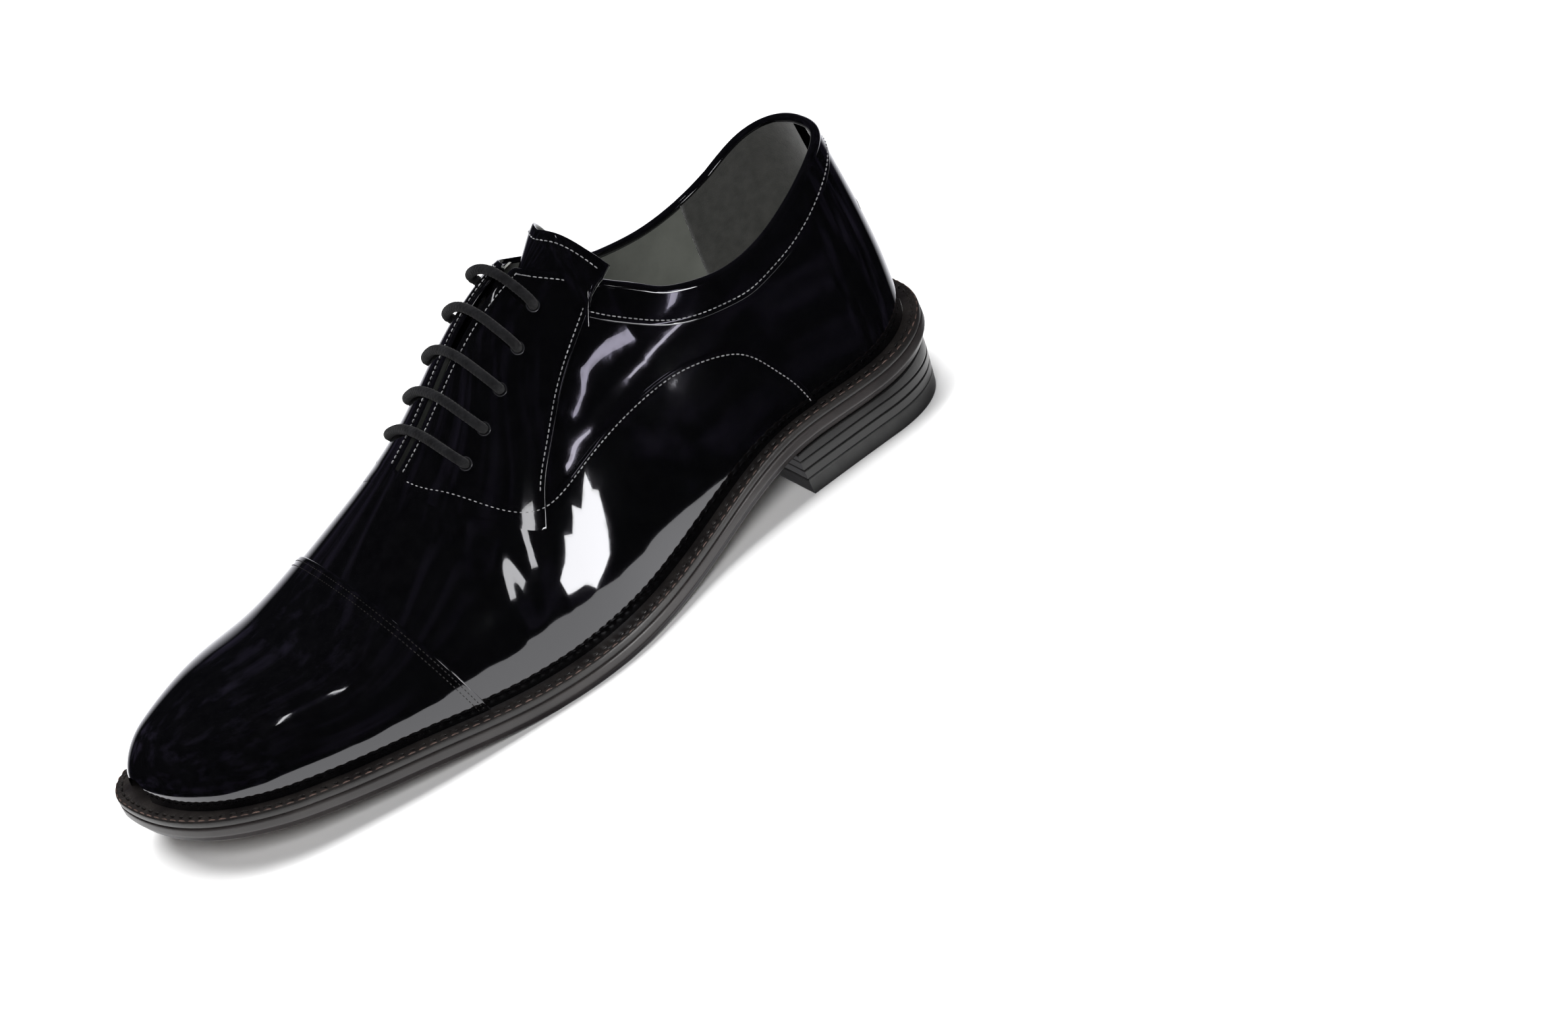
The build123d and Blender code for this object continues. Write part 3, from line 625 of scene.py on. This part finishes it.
# ---- quarters, collar and facings
for side, word in ((-1, "medial"), (1, "lateral")):
    rows = np.concatenate([heel_rows(HEEL_END + 0.75, 101, 26), np.arange(102.6, 184, 1.6)])
    high = np.where(rows < 121, top_u(np.minimum(rows, 121), side, 3.2), 0)
    lip = u_at_offset(rows, gap_offset(rows, side) + side * 2.5)
    high = np.where(rows < 110, high, np.where(side > 0, np.maximum(high, lip),
                                               np.minimum(high, lip)))
    s, u = rows_between(rows, high, np.full(len(rows), side * 1.0), np.linspace(0, 1, 44))
    leather(f"quarter_{word}_leather", [(s, u, ())], QUARTER_DEPTH, f"quarter_{word}",
            relief=creases)

    rows = heel_rows(HEEL_END + 0.05, 113, 26)
    crown_line = np.where(rows < 101, top_u(np.minimum(rows, 101), side, 1.5),
                          facing_u(np.maximum(rows, 102.2), side) * 0.86)
    crown_line = np.where(rows < 101, crown_line, top_u(rows, side, 2.5))
    s, u = rows_between(rows, crown_line, u_at_height(rows, collar_seam(rows), side),
                        refined(10, first=False))
    leather(f"collar_band_{word}_leather", [(s, u, ("right",))], COLLAR_DEPTH,
            f"collar_band_{word}", thickness=0.9, edge=0.45)

    rows = np.concatenate([[101.8, 102.1, 102.6, 103.3], np.arange(104.2, 126, 0.8),
                           np.arange(126, 189, 1.5)])
    inner = u_at_offset(rows, gap_offset(rows, side))
    outer = facing_u(rows, side)
    seam_rows = rows < 158
    s, u = rows_between(rows[seam_rows], inner[seam_rows], outer[seam_rows], refined(26))
    grids = [(s, u, ("left", "right"))]
    ahead = ~seam_rows
    ahead[np.argmax(ahead) - 1] = True
    s, u = rows_between(rows[ahead], inner[ahead], outer[ahead], refined(26))
    grids.append((s, u, ("left",)))
    leather(f"facing_{word}_leather", grids, FACING_DEPTH, f"facing_{word}", thickness=2.6,
            edge=0.5)

# The rolled topline, round the heel and up both sides.
roll_s = heel_rows(0.8 * (HEEL_INSET + ROLL_RADIUS) + 0.01, 102.5, 30, 1.2)
roll = [skin(roll_s, u_at_height(roll_s, top_line(roll_s) - ROLL_DROP, side, ROLL_RADIUS),
             ROLL_RADIUS)
        for side in (1, -1)]
roll = np.vstack([roll[0][::-1], roll[1][1:]])
points, faces = tube(roll, ROLL_RADIUS, 14)
add_mesh("topline_roll", points, faces, patent)

# Back strap over the seam of the quarters.
rows = np.linspace(66, 95.5, 30)
strap_points = []
for z in rows:
    half_width = 5.6 - 1.4 * np.clip((72 - z) / 8, 0, 1)
    spots = HEEL_END + np.concatenate([[0.0], np.geomspace(0.002, 0.9, 9)])
    line = []
    for side in (-1, 1):
        spot = skin(spots, u_at_height(spots, np.full(10, z), side), -0.55)
        line.append(spot)
    line = np.vstack([line[0][::-1], line[1][1:]])
    even = np.linspace(-half_width, half_width, 15)
    order = np.argsort(line[:, 1])
    strap_points.append(np.stack([np.interp(even, line[order, 1] + SIDE, line[order, 0]), even,
                                  np.full(15, z)], 1))
strap = np.array(strap_points)
strap[:, [0, -1], 0] += 0.7
strap[:, :, 1] -= SIDE
add_mesh("back_strap_leather", strap.reshape(-1, 3), grid_faces(30, 15), patent, "shoe",
         "back_strap")

# ---- linings
for side, word in ((-1, "medial"), (1, "lateral")):
    rows = np.concatenate([[44.5], np.arange(46, 101, 2.0), np.arange(101.5, 150, 2.0)])
    high = u_at_height(rows, top_line(np.minimum(rows, 119)) - ROLL_DROP, side, LINING_DEPTH)
    high = np.where(rows < 119, high, 0)
    lip = u_at_offset(rows, GAP_SIDE + side * (GAP_HALF + 0.4), LINING_DEPTH)
    high = np.where(rows < 112, high, side * np.maximum(side * high, side * lip))
    s, u = rows_between(rows, high, np.full(len(rows), side * 1.0), np.linspace(0, 1, 30))
    base = skin(s, u, LINING_DEPTH)
    add_mesh(f"quarter_lining_{word}_leather", base.reshape(-1, 3),
             grid_faces(*s.shape, flip=side < 0), lining_leather, "shoe",
             f"quarter_lining_{word}")

rows = toe_rows(150, TIP_END - 3.4, 24, 4.0)
s, u = rows_between(rows, np.full(len(rows), -1.0), np.full(len(rows), 1.0), np.linspace(0, 1, 41))
add_mesh("vamp_lining_fabric", skin(s, u, LINING_DEPTH).reshape(-1, 3),
         grid_faces(*s.shape), lining_leather, "shoe", "vamp_lining")

grip_grids = []
grip_rows = heel_rows(0.8 * (HEEL_INSET + 3.9) + 0.05, 48.5, 26, 1.5)
for side in (-1, 1):
    high = u_at_height(grip_rows, top_line(grip_rows) - ROLL_DROP, side, GRIP_DEPTH)
    s, u = rows_between(grip_rows, high, np.full(len(grip_rows), side * 1.0),
                        np.linspace(0, 1, 24))
    grip_grids.append(skin(s, u, GRIP_DEPTH))
points = np.vstack([g.reshape(-1, 3) for g in grip_grids])
count = grip_grids[0].shape[0] * 24
faces = grid_faces(len(grip_rows), 24, flip=True) + grid_faces(len(grip_rows), 24, count)
for start, flip in ((0, False), (count, True)):
    edge_row = start + (len(grip_rows) - 1) * 24
    wall = len(points)
    side = -1 if start == 0 else 1
    s = np.full(24, 48.5)
    high = u_at_height(s[:1], top_line(s[:1]) - ROLL_DROP, side, GRIP_DEPTH)
    u = high + (side - high) * np.linspace(0, 1, 24)
    points = np.vstack([points, skin(s, u, 3.2)])
    for k in range(23):
        quad = (edge_row + k, edge_row + k + 1, wall + k + 1, wall + k)
        faces.append(quad[::-1] if flip else quad)
weld(add_mesh("heel_grip_suede", points, faces, suede, "shoe", "heel_grip"))

# ---- tongue
tongue_lift = smooth([(90, 12.5), (99, 11), (104, 9.5), (110, 6), (118, 1.5), (128, 0), (140, 0),
                      (164, 0), (187, 0)])
tongue_lateral = smooth([(90, 15.5), (99, 16.5), (110, 17), (118, 17.5), (128, 18.5), (140, 21),
                         (164, 24), (187, 23)])
tongue_medial = smooth([(90, 14), (99, 14.5), (110, 15), (118, 15.5), (128, 16), (140, 17),
                        (164, 18), (187, 17)])


def tongue_surface(depth, forward, across):
    """Points of the tongue: forward from its top edge (0) to its front (1), across -1 to 1.

    Its section is the arch under the lacing, opening into a wide round arch at the top.
    """
    reach = np.abs(across)
    top_edge = TONGUE_REAR - 11.0 * reach**1.7
    s = top_edge + (TONGUE_FRONT - top_edge) * forward
    lateral = u_at_offset(s, tongue_lateral(s), depth)
    medial = u_at_offset(s, -tongue_medial(s), depth)
    u = (lateral + medial) / 2 + (lateral - medial) / 2 * across
    points = skin(s, u, depth)
    crest = skin(s, 0 * s, depth)
    crest[..., 1] += 1.4 + (17.6 - (depth - TONGUE_TOP)) * across
    crest[..., 2] += 2.2 - 21.0 * reach**2.4
    free = np.clip((126 - s) / 20, 0, 1)
    free = (free * free * (3 - 2 * free))[..., None]
    points = points + (crest - points) * free
    points[..., 2] += tongue_lift(s)
    return points, s, u


forward, across = np.meshgrid(np.concatenate([[0, 0.004, 0.01, 0.018, 0.03],
                                              np.linspace(0.045, 1, 60)]),
                              np.concatenate([[-1, -0.985, -0.96], np.linspace(-0.92, 0.92, 39),
                                              [0.96, 0.985, 1]]), indexing="ij")
outer, _, _ = tongue_surface(TONGUE_TOP, forward, across)
inner, _, _ = tongue_surface(TONGUE_MIDDLE, forward, across)
way = (outer - inner) / (TONGUE_MIDDLE - TONGUE_TOP)
border = [outer[0], outer[:, 0], outer[:, -1]]
gap = np.min([line_distance(outer.reshape(-1, 3), line) for line in border], 0)
q = np.clip(1 - gap / 0.7, 0, 1)
drop = (0.7 * (1 - np.sqrt(1 - q**2))).reshape(forward.shape)
rows, columns = forward.shape
count = rows * columns
index = np.arange(count).reshape(rows, columns)
points = np.vstack([(outer - way * drop[..., None]).reshape(-1, 3), inner.reshape(-1, 3)])
rim_faces = [(int(a), int(b), int(b) + count, int(a) + count)
             for rim in (index[0], index[::-1, 0], index[:, -1])
             for a, b in zip(rim[:-1], rim[1:])]
add_mesh("tongue_leather", points, grid_faces(rows, columns, flip=True) + rim_faces, patent,
         "tongue", "tongue")
low, _, _ = tongue_surface(TONGUE_BACK, forward, across)
points = np.vstack([inner.reshape(-1, 3), low.reshape(-1, 3)])
add_mesh("tongue_back", points, grid_faces(rows, columns, count) + rim_faces, lining_leather,
         "tongue", "tongue_lining")

# ---- stitches
for side, word in ((-1, "medial"), (1, "lateral")):
    s = np.concatenate([np.arange(54.5, 170, 0.8), np.linspace(170, 181.15, 40)])
    wing_run = seam_run(s, wing_u(s, side), side * 1.6, 0.05)
    stitches(f"wing_stitches_{word}", [wing_run], *UPPER_STITCH, 0.42, thread_with_painted_glint, "patent")
    s = np.arange(118, 182, 0.8)
    gap_run = seam_run(s, u_at_offset(s, gap_offset(s, side)), side * 2.2, 0.2)
    s = np.arange(103.5, 121.5, 0.8)
    top_run = seam_run(s, u_at_offset(s, gap_offset(s, side)), side * 2.2, 0.2)
    s = np.arange(103.0, 152, 0.8)
    rear_run = seam_run(s, facing_u(s, side), -side * 1.8, 0.2)
    stitches(f"facing_stitches_{word}", [gap_run, top_run, rear_run], *UPPER_STITCH, 0.40, thread_with_painted_glint,
             "patent")
    s = heel_rows(HEEL_END + 0.4, 112, 30, 0.8)
    collar_run = seam_run(s, u_at_height(s, collar_seam(s), side), -side * 1.7, 0.0)
    stitches(f"collar_stitches_{word}", [collar_run], *UPPER_STITCH, 0.40, thread_with_painted_glint, "patent")

u = np.linspace(-0.99, 0.99, 300)
runs = []
for aside in (1.6, 3.3):
    s = cap_seam_s(u, aside)
    runs.append((skin(s, u, CAP_DEPTH - 0.02), normals(s, u)))
stitches("cap_stitches", runs, 1.5, 1.0, 0.32, black_thread, "patent")

across_top = np.linspace(-0.93, 0.93, 200)
behind_edge = np.full(200, 0.036)
line, _, _ = tongue_surface(TONGUE_TOP - 0.1, behind_edge, across_top)
inner_line, _, _ = tongue_surface(TONGUE_MIDDLE - 0.1, behind_edge, across_top)
stitches("tongue_stitches", [(line, (line - inner_line) / 1.2)], *UPPER_STITCH, 0.42, thread_with_painted_glint,
         "tongue_patent", body="tongue")

# ---- eyelets and lace
eyelet_places = []
for s, lateral, medial in zip((167, 157, 146.5, 135, 123.5), (21, 20, 18, 15.5, 12.5),
                              (-15, -14, -12.5, -10, -7)):
    eyelet_places.append(((s, lateral), (s + 4, medial)))


def on_skin(place, height):
    """A point this far above the skin at (s, offset from the ridge)."""
    s, offset = np.array([float(place[0])]), np.array([float(place[1])])
    u = u_at_offset(s, offset)
    return skin(s, u, 0)[0] + normals(s, u)[0] * height, normals(s, u)[0]


rims_points, rims_faces = [], []
for pair in eyelet_places:
    for place in pair:
        centre, n = on_skin(place, 0.18)
        a = np.cross(n, (1.0, 0, 0))
        a /= np.linalg.norm(a)
        b = np.cross(n, a)
        turn = np.linspace(0, 2 * math.pi, 28, endpoint=False)
        section = [(1.5, -1.8), (1.62, -0.2), (1.8, 0.16), (2.05, 0.24), (2.25, 0.05), (2.3, -0.4)]
        rings = [centre + (np.cos(turn)[:, None] * a + np.sin(turn)[:, None] * b) * r + n * h
                 for r, h in section]
        rims_faces += grid_faces(len(section), 28, len(rims_points), wrap=True, flip=True)
        rims_points.extend(np.vstack(rings))
add_mesh("eyelet_rims", np.array(rims_points), rims_faces, eyelet_black, "shoe",
         "blind_eyelets")

RISES = [(3.4, 3.0), (3.4, 3.2), (3.6, 3.6), (3.9, 4.8), (4.2, 5.4)]
CRESTS = [2.8, 3.0, 3.3, 4.2, 5.0]
UNDER = -5.1  # the lace runs under the facings at this height
LOOP_LEAD = 3.2  # the loops at the medial ends lean this much towards the toe
route = [on_skin(place, UNDER)[0] for place in ((118, 25), (141, 26), (152, 26.5), (161, 25))]
for i, (pair, rises, crest) in enumerate(zip(eyelet_places, RISES, CRESTS)):
    ends = list(zip(pair, rises))
    if i % 2:
        ends.reverse()
    first, second = ends[0][0], ends[1][0]
    middle_s = (first[0] + second[0]) / 2
    turns = [on_skin((s + (LOOP_LEAD if offset < 0 else 0), offset), rise)[0]
             for (s, offset), rise in ends]
    route += [on_skin(first, UNDER)[0], turns[0],
              on_skin((middle_s + LOOP_LEAD / 2, GAP_SIDE / 2), crest)[0], turns[1],
              on_skin(second, UNDER)[0]]
route += [on_skin(place, UNDER)[0] for place in ((136, -16), (147, -20), (157, -22), (179, -23.5))]


def spline_points(route):
    """The route's own NURBS spline, read as points in millimetres."""
    curve = bpy.data.curves.new("route", "CURVE")
    curve.dimensions = "3D"
    line = curve.splines.new("NURBS")
    line.points.add(len(route) - 1)
    for point, place in zip(line.points, route):
        point.co = (*(np.asarray(place) * 0.001), 1)
    line.order_u = 3
    line.use_endpoint_u = True
    line.resolution_u = 24
    holder = new_object("route", curve)
    bpy.context.view_layer.update()
    mesh = bpy.data.meshes.new_from_object(holder)
    spots = np.array([v.co for v in mesh.vertices]) * 1000
    bpy.data.objects.remove(holder)
    return spots


def braid(distance, angle):
    """Radius of a round braid: strands crossing in two directions."""
    turn = 2 * math.pi * distance / 5.2
    one = np.cos(4 * (angle + turn))
    two = np.cos(4 * (angle - turn))
    return 1 + 0.055 * np.maximum(one, two) + 0.02 * np.cos(8 * angle)


lace_path = resample(spline_points(route), 0.28)
points, faces = tube(lace_path, 1.55, 24, relief=braid)
add_mesh("lace", points, faces, cotton, "shoe", "shoelace")

# ---- welt, sole and heel
WELT, OUTSOLE = 3.0, 6.0
FLOOR_CLEARANCE = 0.03  # the ball of the sole rests on the floor
WHEEL_PITCH = 3.6
HEEL_FRONT = 69.0
HEEL_LEAN = 4.0


def outline_ring(inset, heel=70, body=260, toe=110):
    """Points (s, y) round the sole's outline moved in by inset, the same number for each inset."""
    back = 0.8 * inset
    front = LENGTH - inset
    angle = np.linspace(0, math.pi / 2, heel)
    stations = [back + (HEEL_ROUND - back) * (1 - np.cos(angle))]
    stations.append(np.linspace(HEEL_ROUND, TOE_ROUND, body)[1:-1])
    angle = np.linspace(0, math.pi / 2, toe)
    stations.append(TOE_ROUND + (front - TOE_ROUND) * np.sin(angle))
    s = np.concatenate(stations)
    lateral, medial = edges(s, inset)
    ring = np.stack([s, lateral], 1)
    return np.vstack([ring, np.stack([s, medial], 1)[-2:0:-1]])


def ring_rows(profile, count=1500, raised=None):
    """Rows round the sole, one for each (inset, height over the feather line) of a profile.

    Every row has evenly spaced points; the length of the whole outline comes with them.
    """
    outline = outline_ring(0)
    walked = distances(np.vstack([outline, outline[:1]]))
    place = np.linspace(0, walked[-1], count, endpoint=False)
    rows = []
    for inset, height in profile:
        ring = outline_ring(inset)
        closed = np.vstack([ring, ring[:1]])
        s = np.interp(place, walked, closed[:, 0])
        y = np.interp(place, walked, closed[:, 1])
        z = np.maximum(feather(s) + height, FLOOR_CLEARANCE)
        if raised:
            z = z + raised(inset, place, walked[-1])
        rows.append(np.stack([s - MIDDLE, y - SIDE, z], 1))
    return rows, walked[-1]


def wheeled(inset, place, whole):
    """The wheel's marks across the welt's top."""
    marks = round(whole / WHEEL_PITCH)
    band = math.exp(-(((inset - 2.5) / 1.1) ** 2))
    return 0.34 * band * (np.cos(2 * math.pi * marks * place / whole) - 0.4)


welt_profile = [(14, -0.3), (7.5, 0.02), (6.2, 0.05), (5.2, 0.05), (4.4, 0.02), (3.9, 0.0),
                (3.4, 0.0), (3.0, 0.0), (2.6, 0.0), (2.2, 0.0), (1.8, 0.0), (1.4, 0.0),
                (1.0, 0.0), (0.5, -0.12), (0.15, -0.4), (0.02, -0.8), (0.0, -1.6), (0.05, -2.4),
                (0.25, -2.75), (0.6, -3.0)]
rows, whole = ring_rows(welt_profile, raised=wheeled)
add_mesh("welt_leather", np.vstack(rows), grid_faces(len(rows), len(rows[0]), wrap=True),
         welt_leather, "shoe", "welt")

sole_profile = [(0.6, -2.95), (0.22, -3.15), (0.03, -3.5), (0.0, -4.2), (0.0, -5.6),
                (0.03, -6.2), (0.16, -6.5), (0.42, -6.8), (0.9, -7.6), (1.35, -8.4),
                (1.7, -8.8), (2.4, -9.0), (3.6, -9.0)]
rows, whole = ring_rows(sole_profile)
count = len(rows[0])
points = np.vstack(rows)
faces = grid_faces(len(rows), count, wrap=True)
steps = 10
lateral_line = rows[-1][:count // 2 + 1]
medial_line = rows[-1][(-np.arange(count // 2 + 1)) % count]
bottom = strips(lateral_line, medial_line, steps)
bottom_start = len(points)
points = np.vstack([points, bottom.reshape(-1, 3)])
bottom_quads = grid_faces(len(bottom), steps + 1, bottom_start, flip=True)
outsole = add_mesh("outsole_leather", points, faces + bottom_quads, sole_edge, "shoe", "outsole")
outsole.data.materials.append(sole_bottom)
for polygon in outsole.data.polygons[len(faces):]:
    polygon.material_index = 1
weld(outsole)


def heel_ring(z, extra=0.0, count=180):
    """The heel block's outline at height z, from its lateral front corner round the back."""
    f = z / 32
    inset = 1.5 - 1.1 * f + extra
    lean = HEEL_LEAN + (0.4 - HEEL_LEAN) * f
    ring = outline_ring(inset)
    half = len(ring) // 2 + 1
    lateral = ring[:half][::-1]
    medial = np.vstack([ring[:1], ring[half:][::-1]])
    front = HEEL_FRONT + (z + 5) / 45 * 1.5 - extra
    path = np.vstack([lateral[lateral[:, 0] <= front + 2], medial[1:][medial[1:, 0] <= front + 2]])
    path[:, 0] += lean * np.clip(1 - path[:, 0] / HEEL_FRONT, 0, 1)
    back_index = np.argmin(path[:, 0])
    lateral_part, medial_part = path[:back_index + 1], path[back_index:]
    lateral_y = np.interp(front, lateral_part[::-1, 0], lateral_part[::-1, 1])
    medial_y = np.interp(front, medial_part[:, 0], medial_part[:, 1])
    inside = path[path[:, 0] < front - 0.05]
    path = np.vstack([[front, lateral_y], inside, [front, medial_y]])
    walked = distances(path)
    place = np.linspace(0, walked[-1], count)
    return np.interp(place, walked, path[:, 0]), np.interp(place, walked, path[:, 1])


def heel_layer(name, low, high, material, node):
    """One layer of the heel between two heights; high None means up to the outsole."""
    levels = [(0, 0.35), (0.05, 0.12), (0.14, 0.0), (0.5, 0.0), (0.86, 0.0), (0.95, 0.12),
              (1, 0.35)]
    rows = []
    for part, extra in levels:
        middle_z = low + part * ((high or 15.5) - low)
        s, y = heel_ring(middle_z, extra)
        top = np.full(len(s), high) if high else feather(s) - WELT - OUTSOLE + 0.02
        z = low + part * (top - low)
        rows.append(np.stack([s - MIDDLE, y - SIDE, z], 1))
    count = len(rows[0])
    points = np.vstack(rows)
    faces = grid_faces(len(rows), count, flip=True)
    sides = np.array(rows)
    across = 14
    breast = strips(sides[:, 0], sides[:, -1], across)
    start = len(points)
    points = np.vstack([points, breast.reshape(-1, 3)])
    faces += grid_faces(len(rows), across + 1, start)
    for row, flip in ((0, True), (-1, False)):
        ring = sides[row]
        half = count // 2
        cover = strips(ring[:half], ring[::-1][:half], 8)
        start = len(points)
        points = np.vstack([points, cover.reshape(-1, 3)])
        faces += grid_faces(half, 9, start, flip=not flip)
    weld(add_mesh(name, points, faces, material, "shoe", node, smooth_faces=False))


heel_layer("top_piece_rubber", 0, 6, rubber, "top_piece")
heel_layer("heel_lift_lower_leather", 6, 9.5, heel_leather, "heel_lift_lower")
heel_layer("heel_lift_upper_leather", 9.5, 13, heel_leather, "heel_lift_upper")
heel_layer("heel_seat_lift_leather", 13, None, heel_leather, "heel_seat_lift")

# Stitches on the welt: one in each of the wheel's marks, and a finer row along its edge.
rows, whole = ring_rows([(2.5, 0.12), (0.55, -0.05)])
for name, row, length, width, finish in (
        ("welt_stitches", rows[0], 2.3, 0.85, black_thread),
        ("edge_stitches", rows[1], 2.5, 0.5, welt_thread)):
    path = np.vstack([row, row[:1]])
    straight = np.tile((0.0, 0.0, 1.0), (len(path), 1))
    pitch = whole / round(whole / WHEEL_PITCH)
    stitches(name, [(path, straight)], pitch, length, width, finish, "welt")

# ---- hidden parts keep their shape
for node, finish in (("toe_puff", lining_leather), ("heel_counter", lining_leather),
                     ("cork_filler", cork), ("shank", steel), ("insole", sock_leather),
                     ("sock_liner", sock_leather), ("heel_nails", steel), ("aglets", plastic)):
    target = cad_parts[node]
    target.data.materials.clear()
    target.data.materials.append(finish)

# ---- floor and light
floor_material, floor_shader, floor_tree = material("floor_paint", (0.93, 0.93, 0.93), 0.55)
ramp(floor_tree, noise(floor_tree, 2.5, 3),
     [(0.2, (0.92, 0.92, 0.92)), (0.8, (0.95, 0.95, 0.95))], floor_shader.inputs["Base Color"])
floor_mesh = bpy.data.meshes.new("floor")
size = 9.0
floor_mesh.from_pydata([(-size, -size, 0), (size, -size, 0), (size, size, 0), (-size, size, 0)],
                       [], [(0, 1, 2, 3)])
floor_mesh.materials.append(floor_material)
floor = new_object("floor", floor_mesh)
floor.visible_glossy = False

world = bpy.data.worlds.new("studio")
bpy.context.scene.world = world
world.use_nodes = True
tree = world.node_tree
place = tree.nodes.new("ShaderNodeTexCoord")
cloud = add_node(tree, "ShaderNodeTexNoise", Scale=5.5, Detail=5, Roughness=0.62)
side = add_node(tree, "ShaderNodeVectorMath", operation="DOT_PRODUCT")
side.inputs[1].default_value = (-0.34, -0.80, -0.50)
total = add_node(tree, "ShaderNodeMix", data_type="RGBA", blend_type="ADD")
total.inputs["Factor"].default_value = 1.0
tree.links.new(place.outputs["Generated"], cloud.inputs["Vector"])
tree.links.new(place.outputs["Generated"], side.inputs[0])
ramp(tree, cloud.outputs["Fac"], [(0.50, (0.004, 0.004, 0.005)), (0.78, (0.075, 0.064, 0.11))],
     total.inputs[6])
ramp(tree, side.outputs["Value"], [(0.76, (0, 0, 0)), (0.94, (0.95, 0.95, 0.97))],
     total.inputs[7])
tree.links.new(total.outputs[2], tree.nodes["Background"].inputs["Color"])


def light(name, place, target, width, height, power):
    """A soft box that lights the scene and isn't seen in the lacquer."""
    data = bpy.data.lights.new(name, "AREA")
    data.shape = "RECTANGLE"
    data.size, data.size_y = width, height
    data.energy = power
    lamp = new_object(name, data)
    lamp.location = place
    lamp.rotation_mode = "QUATERNION"
    lamp.rotation_quaternion = (Vector(target) - Vector(place)).to_track_quat("-Z", "Y")
    lamp.visible_glossy = False


light("overhead", (0.0, -0.5, 2.0), (0, 0, 0), 2.2, 1.6, 95)
light("front", (0.7, 1.9, 1.7), (0, 0, 0.05), 1.2, 1.0, 45)


def card(name, points, strength, color=(1.0, 1.0, 1.0), faces=None):
    """A bright card that only the reflections see."""
    mesh = bpy.data.meshes.new(name)
    mesh.from_pydata([tuple(0.001 * c for c in p) for p in points], [],
                     faces or [tuple(range(len(points)))])
    glow = bpy.data.materials.new(name)
    glow.use_nodes = True
    glow_tree = glow.node_tree
    glow_tree.nodes.remove(glow_tree.nodes["Principled BSDF"])
    lit = add_node(glow_tree, "ShaderNodeEmission", Color=(*color, 1), Strength=strength)
    glow_tree.links.new(lit.outputs[0], glow_tree.nodes["Material Output"].inputs["Surface"])
    mesh.materials.append(glow)
    sheet = new_object(name, mesh)
    sheet.visible_camera = False
    sheet.visible_diffuse = False
    sheet.visible_shadow = False
    sheet.visible_transmission = False


card("side_card", [(-101, 150, 2), (-94, 150, -12), (-60, 150, -18), (-46, 150, -4), (-24, 150, 4),
                   (-20, 150, 20), (-34, 150, 26), (-38, 150, 40), (-50, 150, 34), (-60, 150, 46),
                   (-72, 150, 36), (-90, 150, 48), (-94, 150, 34), (-101, 150, 28)], 12.0)
card("wing_streak", [(-70, 150, 66), (-70, 150, 62.5), (-104, 150, 55), (-104, 150, 57)], 7.0,
     (0.9, 0.86, 1.0))
card("quarter_streak", [(-104, 150, 88), (-98, 150, 90), (-93, 150, 76), (-97, 150, 75)], 5.0,
     (0.86, 0.82, 1.0))
card("side_strip", [(-60, 560, 60), (0, 560, 80), (0, 560, 200), (-60, 560, 170)], 6.0)
card("top_strip", [(75, 290, 1000), (105, 290, 1000), (190, 420, 1000), (165, 425, 1000)], 8.0)

# The floor by the sole, as the lacquer sees it.
angle = np.linspace(0, 2 * math.pi, 240, endpoint=False)
ring_in = outline_ring(-3, 40, 120, 60)
ring_out = outline_ring(-70, 40, 120, 60)
fade = np.clip((ring_in[:, :1] - 40) / 110, 0.25, 1)
wave = 1 + 0.06 * np.sin(ring_in[:, :1] / 6.0) + 0.04 * np.sin(ring_in[:, :1] / 2.7 + 1)
ring_out = ring_in + (ring_out - ring_in) * fade * wave
ring_points = [(s - MIDDLE, y - SIDE, 0.4) for s, y in np.vstack([ring_in, ring_out])]
card("floor_card", ring_points, 1.7, faces=grid_faces(2, len(ring_in), wrap=True))

bpy.context.scene.view_settings.view_transform = "Standard"
